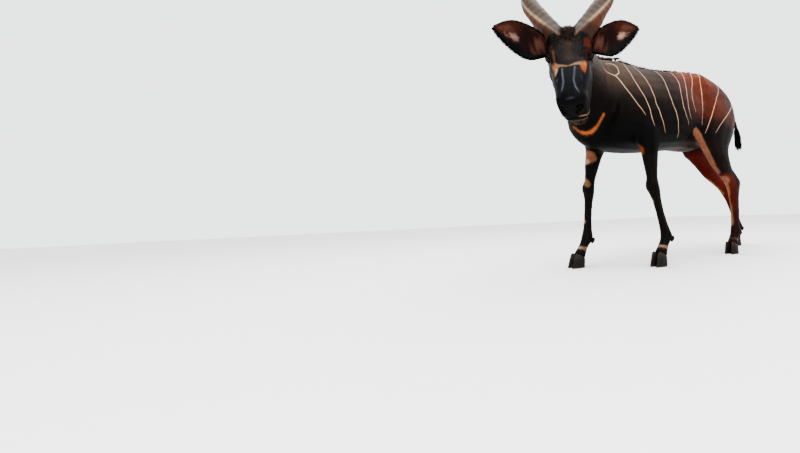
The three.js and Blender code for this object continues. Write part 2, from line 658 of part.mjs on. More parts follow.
function addBody() {
  const legs = {};
  for (const [name, pose] of Object.entries(legPoses)) {
    legs[name] = pose.knee ? forelegSweep(pose) : hindlegSweep(pose);
  }
  const behindNeck = (solid) => solid.subtract(neckRegion(gap / 2));
  const shoulders = [legs.fore_left, legs.fore_right].map((leg) => leg.solid(12, 34));
  const front = join([trunk.solid(24, 44), ...shoulders, ...crest(0.655, 0.93, 17, 11)]);
  addNode("neck", front.intersect(neckRegion(-gap / 2)).subtract(headSolid(gap)), "darkCoat");

  let rest = behindNeck(join([trunk.solid(24, 44), ...crest(0.29, 0.6, 26, 5)]));
  for (const [name, pose] of Object.entries(legPoses)) {
    const side = name.endsWith("left") ? 1 : -1;
    const leg = behindNeck(legs[name].solid(12, 34));
    const point = pose.knee ? [side * 75, pose.elbow[1], 612] : [side * 110, pose.stifle[1] - 50, 712];
    const slope = pose.knee ? [0.91, 0] : [0.8, 0.45];
    const joined = rest.add(leg);
    const upper = joined.intersect(legRegion(side, point, slope, -gap / 2));
    rest = joined.subtract(legRegion(side, point, slope, gap / 2));
    addLeg(name, pose, legs[name], upper);
  }
  const tail = tailSolid();
  addNode("torso", rest, "chestnut");
  addNode("tail", tail.subtract(trunk.solid(24, 44, { grow: gap })), "darkCoat");
}

addHead();
addHorns();
addBody();

// The origin is on the floor, under the middle of the whole animal.
const bounds = new THREE.Box3().setFromObject(body);
const centre = bounds.getCenter(new THREE.Vector3());
body.position.set(-centre.x, -centre.y, -bounds.min.z);

export default body;
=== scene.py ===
# A standing bongo antelope bull, life size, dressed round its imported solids. Metres, +Z up.
# The animal faces -Y, its left side is +X, and its head is lowered and turned to its left.
import math
import bmesh
import bpy
import numpy as np
from mathutils import Matrix, Vector
from mathutils.bvhtree import BVHTree


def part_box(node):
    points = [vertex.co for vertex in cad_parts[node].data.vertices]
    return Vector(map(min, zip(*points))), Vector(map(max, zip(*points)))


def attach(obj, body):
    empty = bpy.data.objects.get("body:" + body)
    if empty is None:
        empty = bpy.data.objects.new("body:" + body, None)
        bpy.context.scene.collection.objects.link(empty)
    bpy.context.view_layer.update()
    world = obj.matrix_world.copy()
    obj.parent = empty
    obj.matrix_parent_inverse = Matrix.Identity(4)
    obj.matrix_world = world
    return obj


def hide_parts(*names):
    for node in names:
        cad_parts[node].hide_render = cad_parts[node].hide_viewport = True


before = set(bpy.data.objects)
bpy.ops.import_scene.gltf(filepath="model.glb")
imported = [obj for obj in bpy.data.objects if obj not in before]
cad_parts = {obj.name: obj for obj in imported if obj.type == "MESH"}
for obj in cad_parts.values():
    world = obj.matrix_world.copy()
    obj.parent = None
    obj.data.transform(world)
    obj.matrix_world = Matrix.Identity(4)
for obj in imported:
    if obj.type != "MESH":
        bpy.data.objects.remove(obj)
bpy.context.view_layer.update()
draw = np.random.default_rng(7)
scene = bpy.context.scene


# General helpers
def linear(code):
    channels = [int(code[i:i + 2], 16) / 255 for i in (1, 3, 5)]
    return np.array([c / 12.92 if c <= 0.04045 else ((c + 0.055) / 1.055) ** 2.4 for c in channels])


def ramp(value, low, high):
    part = np.clip((value - low) / (high - low), 0, 1)
    return part * part * (3 - 2 * part)


def hump(value, middle, reach):
    return np.exp(-((value - middle) / reach) ** 2)


def mixed(low, high, part):
    return low + (high - low) * part


def lengths(vectors):
    return np.linalg.norm(vectors, axis=-1)


def unit(vectors):
    return vectors / np.maximum(lengths(vectors)[..., None], 1e-9)


def humpAround(points, place, reach):
    return ramp(lengths((points - np.array(place)) / np.array(reach)), 1.15, 0.75)


def distanceTo(points, line):
    best = np.full(len(points), 1e9)
    for start, end in zip(line[:-1], line[1:]):
        start, way = np.array(start, float), np.array(end, float) - np.array(start, float)
        part = np.clip((points - start) @ way / (way @ way), 0, 1)
        best = np.minimum(best, lengths(points - start - part[:, None] * way))
    return best


# Both sides of the animal laid on its left one
def folded(points):
    return np.abs(points) * (1, 0, 0) + points * (0, 1, 1)


def readVectors(items, key, count=3):
    flat = np.empty(count * len(items))
    items.foreach_get(key, flat)
    return flat.reshape(-1, count)


def pointsOf(mesh):
    return readVectors(mesh.vertices, "co")


def normalsOf(mesh):
    return readVectors(mesh.vertices, "normal")


def moveVertices(mesh, points):
    mesh.vertices.foreach_set("co", points.ravel())
    mesh.update()


def addObject(name, data):
    piece = bpy.data.objects.new(name, data)
    scene.collection.objects.link(piece)
    return piece


def welded(shape):
    bmesh.ops.remove_doubles(shape, verts=shape.verts, dist=1e-6)
    bmesh.ops.recalc_face_normals(shape, faces=shape.faces)
    return shape


def meshFrom(shape, name):
    mesh = bpy.data.meshes.new(name)
    shape.to_mesh(mesh)
    shape.free()
    return mesh


def applied(piece):
    mesh = bpy.data.meshes.new_from_object(piece.evaluated_get(bpy.context.evaluated_depsgraph_get()))
    piece.modifiers.clear()
    piece.data = mesh
    return mesh


def finished(piece, material, nodes, smooth=True):
    piece.data.materials.clear()  # joining leaves an empty slot
    piece.data.materials.append(material)
    piece.data.polygons.foreach_set("use_smooth", [smooth] * len(piece.data.polygons))
    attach(piece, "root")
    if nodes:
        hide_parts(*nodes)


def setColours(mesh, name, colours):
    layer = mesh.color_attributes.new(name, "FLOAT_COLOR", "POINT")
    layer.data.foreach_set("color", np.column_stack([colours, np.ones(len(colours))]).ravel())


# A ball of rings set on new places: place(t, angle) gives the point, from one end (t 0) to the other
def ringed(around, along, place):
    shape = bmesh.new()
    for vert in bmesh.ops.create_uvsphere(shape, u_segments=around, v_segments=along, radius=1)["verts"]:
        vert.co = place(math.acos(max(-1, min(1, vert.co.z))) / math.pi, math.atan2(vert.co.y, vert.co.x))
    return shape


def curveThrough(points):
    points = [Vector(p) for p in points]

    def at(t):
        place = max(0, min(1, t)) * (len(points) - 1)
        step = min(int(place), len(points) - 2)
        rest = place - step
        a, b = points[step], points[step + 1]
        before = points[step - 1] if step > 0 else 2 * a - b
        after = points[step + 2] if step + 2 < len(points) else 2 * b - a
        return 0.5 * (2 * a + (b - before) * rest + (2 * before - 5 * a + 4 * b - after) * rest ** 2
                      + (3 * a - before - 3 * b + after) * rest ** 3)

    return at


def tangentOf(curve, t, step=0.01):
    return (curve(min(1, t + step)) - curve(max(0, t - step))).normalized()


# Adds one node with its settings and its links. A node given as a source stands for its first output.
def addNode(tree, kind, settings=None, links=None):
    node = tree.nodes.new("ShaderNode" + kind)
    for key, value in (settings or {}).items():
        if isinstance(key, int) or key in node.inputs:
            node.inputs[key].default_value = value
        else:
            setattr(node, key, value)
    for key, source in (links or {}).items():
        tree.links.new(getattr(source, "outputs", [source])[0], node.inputs[key])
    return node


# A colour made darker and lighter by a pattern
def multiplied(tree, colour, low, high, pattern):
    shade = addNode(tree, "MapRange", {"To Min": low, "To Max": high}, {"Value": pattern})
    return addNode(tree, "Mix", {"data_type": "RGBA", "blend_type": "MULTIPLY", 0: 1.0},
                   {6: colour, 7: shade}).outputs[2]


def newMaterial(name):
    material = bpy.data.materials.new(name)
    material.use_nodes = True
    tree = material.node_tree
    tree.nodes.clear()
    return material, tree


def closeMaterial(tree, shader):
    addNode(tree, "OutputMaterial", links={"Surface": shader})


# The frame of the head: the nose lies towards -Y of it, the forehead towards +Z, the origin between the eyes
headPose = {"turnNodTilt": (56.4, 60.4, -4.4), "brow": (0.486, -0.619, 0.84), "eyeLift": 0.006}
sideSign = {"left": 1, "right": -1}


def turned(start, degrees, axes):
    for angle, axis in zip(degrees, axes):
        start = start @ Matrix.Rotation(math.radians(angle), 4, axis)
    return start


def boxMiddle(name):
    low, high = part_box(name)
    return Vector((low + high) / 2)


eyeCentres = {side: boxMiddle("eye_" + side) for side in sideSign}
headTurn = turned(Matrix.Identity(4), headPose["turnNodTilt"], "ZXY")
eyeMiddle = (eyeCentres["left"] + eyeCentres["right"]) / 2
headMatrix = Matrix.Translation(eyeMiddle) @ headTurn @ Matrix.Translation((0, 0, -headPose["eyeLift"]))
headTurned = np.array(headMatrix.to_3x3())
bodyOrigin = headMatrix.translation - Vector(headPose["brow"])  # where the design's own origin stands


def headLocal(points):
    inverse = np.array(headMatrix.inverted())
    return points @ inverse[:3, :3].T + inverse[:3, 3]


def fromHead(millimetres):
    return millimetres / 1000 @ headTurned.T + np.array(headMatrix.translation)


def bodyLocal(points):
    return points - np.array(bodyOrigin)


# Camera at the photograph's place, near the ground before the animal's left shoulder, looking up.
# The shift sets the animal in the upper right of the frame, as the photograph does.
cameraSettings = {"place": (1.427, -1.199, 0.274), "yawPitchRoll": (53.19, 90 + 12.51, -2.16), "lens": 14.66,
                  "shift": (-0.25, -0.105)}
cameraData = bpy.data.cameras.new("camera")
cameraData.lens = cameraSettings["lens"]
cameraData.shift_x, cameraData.shift_y = cameraSettings["shift"]
scene.camera = addObject("camera", cameraData)
scene.camera.matrix_world = turned(Matrix.Translation(bodyOrigin + Vector(cameraSettings["place"])),
                                   cameraSettings["yawPitchRoll"], "ZXZ")
print("camera placed")

# Skin: the flesh nodes fused, finest at the head, with the faceting smoothed away
skinSettings = {"overlap": 0.0006, "lidBall": 0.0212, "gain": 0.9, "reach": 0.15, "voxel": 0.015,
                "bodyRounds": 22, "headRounds": 7, "coatDepth": 0.004, "faceDepth": 0.0012, "cuff": 0.006}
spine = [(0, 0.76, 1.292), (0, 0.6, 1.27), (0, 0.45, 1.238), (0, 0.31, 1.212), (0, 0.18, 1.2),
         (0, 0.06, 1.2), (0, -0.045, 1.192), (0.014, -0.135, 1.172), (0.06, -0.218, 1.152),
         (0.135, -0.305, 1.124), (0.228, -0.398, 1.084), (0.325, -0.492, 1.032), (0.404, -0.568, 0.974)]
neckHollow = [(0.13, -0.18, 0.68), (0.16, -0.13, 0.82), (0.15, -0.09, 0.98)]
legJoints = {
    "fore_right": [(-0.16, -0.05, 0.7), (-0.16, -0.108, 0.425), (-0.158, -0.132, 0.15)],
    "fore_left": [(0.16, 0.088, 0.7), (0.16, 0.098, 0.415), (0.152, 0.18, 0.148)],
    "hind_right": [(-0.162, 0.885, 0.69), (-0.112, 1.2, 0.44), (-0.104, 1.312, 0.14)],
    "hind_left": [(0.165, 0.565, 0.75), (0.165, 0.862, 0.447), (0.152, 0.85, 0.14)],
}
footShape = {"coronet": 0.054, "pastern": 0.056, "slope": 0.45}
fleshNodes = ["head", "neck", "torso", *(f"{leg}_{part}" for leg in legJoints for part in ("upper", "lower"))]
fineCentre = np.array(headMatrix @ Vector((0, -0.06, -0.01)))


# The voxels are finest at the head because the flesh is spread out round it first, and drawn back after
def spreadOut(points):
    away = points - fineCentre
    return fineCentre + away * (1 + skinSettings["gain"] / (lengths(away)[:, None] + skinSettings["reach"]))


def drawnBack(points):
    away = points - fineCentre
    far = lengths(away)[:, None]
    half = skinSettings["reach"] + skinSettings["gain"] - far
    return fineCentre + away * ((np.sqrt(half ** 2 + 4 * far * skinSettings["reach"]) - half) / (2 * far))


def relaxed(points, edges, hold, rounds, back=-0.53):
    count = np.bincount(edges.ravel(), minlength=len(points))[:, None]
    a, b = edges.T
    for step in range(2 * rounds):
        total = np.stack([np.bincount(a, column[b], len(points)) + np.bincount(b, column[a], len(points))
                          for column in points.T], 1)
        points = points + hold * (total / count - points) * (0.5 if step % 2 == 0 else back)
    return points


def headness(points):
    local = headLocal(points)
    inside = (np.abs(local[:, 0]) < 0.16) & (np.abs(local[:, 2] + 0.03) < 0.17)
    return ramp(local[:, 1], 0.15, 0.08) * inside


def makeSkin():
    shape = bmesh.new()
    for name in fleshNodes:
        shape.from_mesh(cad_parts[name].data)
    welded(shape)
    for vert in shape.verts:
        vert.co += vert.normal * skinSettings["overlap"]
    for centre in eyeCentres.values():
        bmesh.ops.create_icosphere(shape, subdivisions=4, radius=skinSettings["lidBall"],
                                   matrix=Matrix.Translation(centre))
    mesh = meshFrom(shape, "skin")
    moveVertices(mesh, spreadOut(pointsOf(mesh)))
    piece = addObject("skin", mesh)
    remesh = piece.modifiers.new("fuse", "REMESH")
    remesh.mode, remesh.voxel_size = "VOXEL", skinSettings["voxel"]
    mesh = applied(piece)
    points = drawnBack(pointsOf(mesh))
    edges = readVectors(mesh.edges, "vertices", 2).astype(int)
    face = headness(points)[:, None]
    foot = ramp(bodyLocal(points)[:, 2], 0.13, 0.07)[:, None]
    points = relaxed(points, edges, (1 - face) * (1 - 0.8 * foot), skinSettings["bodyRounds"])
    points = relaxed(points, edges, face, skinSettings["headRounds"])
    body = bodyLocal(points)
    hollow = ramp(distanceTo(folded(body), neckHollow), 0.13, 0.06)
    soft = np.maximum(ramp(distanceTo(body, spine), 0.07, 0.04), hollow)
    points = relaxed(points, edges, soft[:, None] * (1 - face), 30, back=0.5)
    moveVertices(mesh, points)
    depth = mixed(skinSettings["coatDepth"], skinSettings["faceDepth"], face)
    points = points - normalsOf(mesh) * depth * (1 - foot)
    points[:, 2] -= skinSettings["cuff"] * ramp(bodyLocal(points)[:, 2], 0.095, 0.075)
    moveVertices(mesh, points)
    return piece


skin = makeSkin()
print("skin fused:", len(skin.data.polygons), "faces")

# Ears: leaves that roll into their root, joined to the skin
earShape = {"root": (0.058, 0.06, -0.009), "length": 0.246, "width": 0.109,
            "rise": {0: 0, 0.3: -0.007, 0.66: 0.008, 1: 0},
            "leans": {"left": (0.887, 0.464, 0.06), "right": (0.891, 0.218, 0.395)},
            "opens": (0.25, -0.75, 0.62), "thickness": (0.006, 0.0026), "curl": (3.8, 0.9), "near": 0.075}


def earCurve(side):
    root, lean = Vector(earShape["root"]), Vector(earShape["leans"][side])
    points = []
    for part, rise in earShape["rise"].items():
        place = root + lean * part * earShape["length"] + Vector((0, 0, rise))
        points.append(headMatrix @ Vector((sideSign[side] * place.x, place.y, place.z)))
    return curveThrough(points)


# Where an ear's middle line, its width and the way that it faces are, from the root (t 0) to the tip
def earSection(side, t):
    curve = earCurve(side)
    centre, ahead = curve(t), tangentOf(curve, t)
    facing = headMatrix.to_3x3() @ Vector((sideSign[side] * earShape["opens"][0], *earShape["opens"][1:]))
    front = (facing - ahead * facing.dot(ahead)).normalized()
    half = earShape["width"] / 2 * (0.36 + 0.72 * math.sin(math.pi * t ** 0.8) ** 0.8) * (1 - t ** 7)
    bend = mixed(*earShape["curl"], float(ramp(t, 0, 0.5))) / 2
    return centre, ahead, front, ahead.cross(front), half, bend


def earPoint(side, t, angle):
    centre, ahead, front, across, half, bend = earSection(side, max(t, 1e-5))
    if not 1e-4 < t < 1 - 1e-4:
        return centre
    turn = -math.cos(angle) * bend
    depth = half / bend - mixed(*earShape["thickness"], t) / 2 * math.sin(angle)
    return centre + across * math.sin(turn) * depth + front * (half / bend - math.cos(turn) * depth)


# How far along an ear each point lies, whether it is near the ear, and the ear's own way
def alongEar(points, side):
    root, tip = (np.array(earCurve(side)(t)) for t in (0, 1))
    part = (points - root) @ (tip - root) / ((tip - root) @ (tip - root))
    return part, lengths(points - root - part[:, None] * (tip - root)) < earShape["near"], unit(tip - root)


def joinToSkin(name, around, along, place):
    other = addObject(name, meshFrom(welded(ringed(around, along, place)), name))
    joint = skin.modifiers.new(name, "BOOLEAN")
    joint.operation, joint.solver, joint.object = "UNION", "MANIFOLD", other
    applied(skin)
    bpy.data.objects.remove(other)


for side in sideSign:
    joinToSkin("ear", 40, 60, lambda t, angle: earPoint(side, t, angle))
print("ears joined:", len(skin.data.polygons), "faces")

# Tail: the stem hangs a little clear of the rump, and a tuft ends it
tailShape = {"root": (0, 1.092, 1.062), "length": 0.25, "girth": (0.019, 0.0085),
             "steps": [(0, 0, 0), (0.006, 0.078, -0.04), (0.02, 0.136, -0.31), (0.032, 0.142, -0.64),
                       (0.038, 0.13, -1)]}
tailPath = curveThrough([Vector(tailShape["root"]) + bodyOrigin + Vector((x, y, z * tailShape["length"]))
                         for x, y, z in tailShape["steps"]])


def tailPoint(t, angle):
    ahead = tangentOf(tailPath, t)
    girth = mixed(*tailShape["girth"], t ** 0.7) * math.sqrt(max(0, 1 - (2 * t - 1) ** 8))
    front = (Vector((1, 0, 0)) - ahead * ahead.x).normalized()
    return tailPath(t) + (front * math.cos(angle) + ahead.cross(front) * math.sin(angle)) * girth


joinToSkin("tailStem", 18, 36, tailPoint)
print("tail joined:", len(skin.data.polygons), "faces")


# Fine work on the skin: lids round each eye, nostrils, the line of the mouth, folds and tendons
eyeShape = {"radius": 0.019, "turn": -40, "lift": -12, "lid": 0.0211, "half": 0.0178, "upper": 0.0108,
            "lower": 0.0078, "slant": 0.22, "near": 0.034}
nostril = [(21, -246, -50), (29, -245, -40), (36, -241, -27), (39, -232, -15), (37, -222, -8)]
mouthLine = {"y": (-268, -228, -188, -152, -126), "z": (-70, -76, -84, -80, -72), "slit": 1.9, "depth": 3.6}
folds = [  # creases of the body in its own frame, mirrored: millimetres deep, half the width, and the line
    (7, 0.02, [(0.15, 0.44, 0.7), (0.185, 0.48, 0.79), (0.2, 0.56, 0.88)]),
    (6, 0.022, [(0.14, 0.06, 0.66), (0.19, 0.05, 0.76), (0.2, 0.12, 0.88)]),
    (5, 0.026, [(0.16, 0.95, 0.72), (0.14, 1.01, 0.86), (0.12, 1.06, 0.98)]),
    (-5, 0.045, [(0.19, 0.64, 1.06), (0.2, 0.7, 1.01)]),
]


def eyeFrame(side):
    sign = sideSign[side]
    turn = turned(headTurn, (sign * eyeShape["turn"], sign * eyeShape["lift"]), "ZY").to_3x3()
    ways = [np.array(turn @ Vector(way)) for way in ((sign, 0, 0), (0, -1, 0), (0, 0, 1))]
    return np.array(eyeCentres[side]), *ways


# Distance from the edge of the lids' opening on the ball of the eye: below 0 is inside
def lidEdge(points, side):
    centre, out, ahead, up = eyeFrame(side)
    away, half = points - centre, eyeShape["half"]
    far = lengths(away)
    scale = eyeShape["lid"] / np.maximum(far, 1e-6)
    v = away @ ahead * scale
    w = away @ up * scale + eyeShape["slant"] * v
    rise = np.where(w > 0, eyeShape["upper"], eyeShape["lower"]) * np.maximum(0, 1 - (v / half) ** 2)
    beyond = np.maximum(0, np.abs(v) - half)
    edge = np.where(beyond > 0, np.hypot(beyond, w), 0.85 * (np.abs(w) - rise))
    return np.where(away @ out > 0.25 * far, edge, 1), far, w


# How near each point is to the edge of a lid and to the middle of an eye
def nearEyes(points):
    edges, distances, _ = zip(*(lidEdge(points, side) for side in sideSign))
    return np.min(np.abs(edges), axis=0), np.min(distances, axis=0)


def refine(mesh, chosen):
    shape = bmesh.new()
    shape.from_mesh(mesh)
    shape.faces.ensure_lookup_table()
    edges = {edge for index in np.flatnonzero(chosen) for edge in shape.faces[index].edges}
    bmesh.ops.subdivide_edges(shape, edges=list(edges), cuts=1, use_grid_fill=True)
    bmesh.ops.triangulate(shape, faces=[face for face in shape.faces if len(face.verts) > 4])
    shape.to_mesh(mesh)
    shape.free()


def refineFace(mesh):
    centres = readVectors(mesh.polygons, "center")
    x, y, z = folded(headLocal(centres) * 1000).T
    refine(mesh, (nearEyes(centres)[1] < eyeShape["near"]) | (y < -200) & (x < 90) & (z > -104))
    centres = readVectors(mesh.polygons, "center")
    edge, far = nearEyes(centres)
    hole = distanceTo(folded(headLocal(centres) * 1000), nostril)
    refine(mesh, (edge < 0.007) & (far < eyeShape["near"]) | (hole < 11))


# Tendons and bony points of the legs, as millimetres to move out along the surface
def legShape(body):
    move = np.zeros(len(body))
    for leg, joints in legJoints.items():
        near = ramp(distanceTo(body, joints), 0.12, 0.08)
        _, middle, fetlock = np.array(joints)
        shaft = fetlock - middle
        part = (body - middle) @ shaft / (shaft @ shaft)
        off = body - middle - np.clip(part, 0, 1)[:, None] * shaft
        shank = ramp(part, 0.12, 0.25) * ramp(part, 0.98, 0.85) * near
        knob = middle + (0, -0.02 if "fore" in leg else 0.03, 0.01)
        move -= 2.4 * shank * hump(off[:, 1], 0.008, 0.006) * ramp(np.abs(off[:, 0]), 0.008, 0.014)
        move += 1.6 * shank * hump(off[:, 1], 0.024, 0.008)
        move += 2.5 * near * humpAround(body, knob, (0.06, 0.03, 0.03))
        move += 1.8 * near * humpAround(body, fetlock + (0, 0.012, 0), (0.06, 0.03, 0.025))
    return move


# The relief of the face in its frame, as millimetres to move out: lips, nostrils, nose, sockets and cheeks
def faceShape(local):
    x, y, z = local.T
    aside = folded(local)
    mouth = z - np.interp(y, mouthLine["y"], mouthLine["z"])
    lips = 1.8 * (hump(mouth, 8, 5) + 0.8 * hump(mouth, -8, 5))
    lips -= mouthLine["depth"] * hump(mouth, 0, mouthLine["slit"])
    move = ramp(y, -122, -140) * lips
    far = distanceTo(aside, nostril)
    move += 1.6 * hump(far, 9, 3.5) - 9.5 * hump(far, 0, 4.6)
    move -= 1.3 * hump(x, 0, 2.2) * ramp(y, -205, -225) * ramp(z, -76, -66)
    bridge = ramp(z, 0, 12) * ramp(y, -90, -120) * ramp(y, -225, -200)
    move += 1.5 * (hump(x, 21, 6) + hump(x, -21, 6)) * bridge
    move -= 2.0 * humpAround(aside, (48, -60, 30), (10, 22, 22))
    return move + 2.5 * humpAround(aside, (66, -64, -34), (30, 60, 8))


def sculptSkin(mesh):
    points, normals = pointsOf(mesh), normalsOf(mesh)
    edges = readVectors(mesh.edges, "vertices", 2).astype(int)
    face = headness(points)
    local = headLocal(points) * 1000
    points = relaxed(points, edges, (face * ramp(local[:, 1], -180, -200))[:, None], 3)
    body = bodyLocal(points)
    move = face * faceShape(local) + legShape(body)
    for depth, half, line in folds:
        move -= (1 - face) * depth * hump(distanceTo(folded(body), line), 0, half)
    points = points + normals * (move / 1000)[:, None]
    for side in sideSign:
        edge, away, height = lidEdge(points, side)
        inside = ramp(edge, 0.0004, -0.001)
        lid = (eyeShape["lid"] + 0.0011 * hump(edge, 0.0016, 0.0016)
               - 0.0017 * hump(edge, 0.0072, 0.0024) * (height > 0))
        target = mixed(lid, 0.015, inside)
        held = np.maximum(inside, ramp(edge, 0.015, 0.007)) * ramp(away, 0.04, 0.028)
        centre = np.array(eyeCentres[side])
        points = centre + (points - centre) * (1 + held * (target / np.maximum(away, 1e-6) - 1))[:, None]
    moveVertices(mesh, points)


refineFace(skin.data)
sculptSkin(skin.data)
print("skin shaped:", len(skin.data.polygons), "faces")


# Coat colours, as one rule for the skin and for every tuft on it; the bluish grey among them paints highlights
# on the face
coatColours = {
    "black": "#070606", "blackBrown": "#140d0a", "greyBrown": "#4b382c", "sheenGrey": "#70747f",
    "chestnut": "#3f170c", "bright": "#532110", "darkRed": "#2c100a", "deepRed": "#59180b",
    "maroon": "#220d0c", "orange": "#8c4820", "peach": "#9a5934", "fawn": "#7f5540", "tan": "#7b5c42", "pale": "#a68773",
    "white": "#b4a798", "muzzle": "#07090e", "brow": "#120d0d", "earRed": "#401e15", "earTan": "#583a2f",
    "earPatch": "#9c8476",
}
tint = {name: linear(code) for name, code in coatColours.items()}

# Pale lines on the flank in millimetres, each from the back down, in the body's own frame and mirrored
flankLines = [
    [(150, -210, 1070), (140, -110, 1035), (181, -70, 941), (206, -15, 855), (213, 31, 800)],
    [(140, -110, 1035), (130, -74, 1056), (105, -67, 1104), (85, -90, 1124), (80, -130, 1116)],
    [(80, 10, 1150), (165, 9, 1015), (206, 47, 899), (218, 71, 808), (216, 94, 745)],
    [(60, 100, 1165), (150, 112, 1058), (200, 116, 948), (222, 123, 862), (223, 153, 783), (198, 196, 722)],
    [(40, 290, 1195), (131, 279, 1114), (198, 250, 999), (229, 245, 903), (235, 270, 818), (220, 290, 765),
     (170, 330, 711)],
    [(30, 455, 1230), (142, 421, 1114), (211, 354, 984), (239, 335, 880), (222, 383, 790)],
    [(30, 590, 1260), (137, 501, 1124), (211, 412, 981), (236, 385, 884), (231, 405, 830)],
    [(30, 690, 1280), (137, 577, 1125), (206, 470, 978), (228, 461, 882)],
    [(30, 765, 1285), (130, 678, 1192), (178, 610, 1028), (208, 565, 925), (208, 536, 816)],
    [(50, 900, 1245), (161, 845, 1139), (214, 694, 977), (224, 590, 830), (214, 550, 760)],
    [(40, 1045, 1160), (147, 1010, 1060), (205, 891, 969), (242, 722, 855), (236, 634, 766)],
]
lineShape = {"half": 0.003, "known": 0.011, "spacing": 0.02}


# Each line resampled along its curve and laid on the skin
def layLines():
    faces = [tuple(face.vertices) for face in skin.data.polygons]
    hide = BVHTree.FromPolygons([vert.co for vert in skin.data.vertices], faces)
    lines = []
    for sign in (1, -1):
        for line in flankLines:
            line = [Vector(np.array(point) / 1000) for point in line]
            path = curveThrough(line)
            steps = int(sum((b - a).length for a, b in zip(line[:-1], line[1:])) / lineShape["spacing"])
            places = [Vector((sign * p.x, p.y, p.z)) for p in (path(i / steps) for i in range(steps + 1))]
            lines.append(np.array([hide.find_nearest(p + bodyOrigin)[0] - bodyOrigin for p in places]))
    return lines


linesOnSkin = layLines()


# Signed distance to the nearest pale line, how near it is at all, and the place along it
def lineField(points):
    known = lineShape["known"]
    gap, signed = np.full(len(points), 1.0), np.full(len(points), known)
    along, past = np.zeros(len(points)), np.zeros(len(points))
    for line in linesOnSkin:
        middle = line.mean(0)
        close = np.flatnonzero(lengths(points - middle) < lengths(line - middle).max() + 2 * known)
        some = points[close]
        for i, way in enumerate(np.diff(line, axis=0)):
            raw = (some - line[i]) @ way / (way @ way)
            part = np.clip(raw, 0, 1)
            off = some - line[i] - part[:, None] * way
            far = lengths(off)
            better = far < gap[close]
            chosen = close[better]
            gap[chosen] = far[better]
            signed[chosen] = np.sign(way[1] * off[better, 2] - way[2] * off[better, 1]) * far[better]
            along[chosen] = (i + part[better]) / (len(line) - 1)
            past[chosen] = (np.abs(raw - part) * lengths(way))[better]
    near = ramp(gap, known, 0.6 * known) * ramp(past, 0.007, 0.002)
    return np.clip(signed, -known, known), near, along


def plain(name, points):
    return np.tile(tint[name], (len(points), 1))


# Colours laid over each other, each as far as its mask says
def painted(colours, *layers):
    for name, mask in layers:
        colours = mixed(colours, tint[name], np.clip(mask, 0, 1)[:, None])
    return colours


# Marks beside the flank lines, in millimetres of the body's own frame: the colour, then half the width and
# the points of a streak, or the reach and the middle of a patch
bodyMarks = [
    ("peach", 3, [(-30, -290, 760), (-2, -294, 731), (15, -273, 708), (38, -250, 695), (66, -231, 702),
                  (99, -214, 735), (133, -198, 789)]),
    ("peach", 6, [(22, -266, 706), (40, -250, 699), (66, -231, 706), (84, -222, 720)]),
    ("white", 1, [(-2, -294, 720), (15, -273, 697), (38, -250, 684), (66, -231, 691)]),
    ("fawn", 13, [(-205, -85, 612), (-150, -112, 628), (-112, -85, 602)]),
    ("fawn", (66, 44, 44), (-160, -110, 610)),
    ("pale", (30, 30, 18), (-155, -130, 585)),
    ("tan", 16, [(-192, -118, 492), (-160, -142, 470), (-128, -134, 452)]),
    ("pale", (12, 20, 14), (-160, -155, 238)),
    ("orange", (40, 50, 34), (132, 38, 612)),
    ("tan", (10, 30, 14), (150, 115, 340)),
    ("fawn", 19, [(193, 484, 768), (177, 544, 705), (171, 594, 645), (168, 633, 592), (159, 675, 549),
                  (160, 705, 520)]),
    ("bright", (56, 85, 60), (172, 780, 462)),
    ("fawn", (34, 46, 34), (166, 768, 470)),
    ("tan", 14, [(160, 790, 440), (140, 845, 358), (143, 833, 283), (143, 830, 190)]),
    ("tan", 12, [(-150, 560, 740), (-150, 760, 620), (-130, 1060, 480), (-110, 1150, 400)]),
]


def markMask(points, reach, line):
    if isinstance(reach, tuple):
        return humpAround(points, line, reach)
    return ramp(distanceTo(points, line), reach + 8, reach)


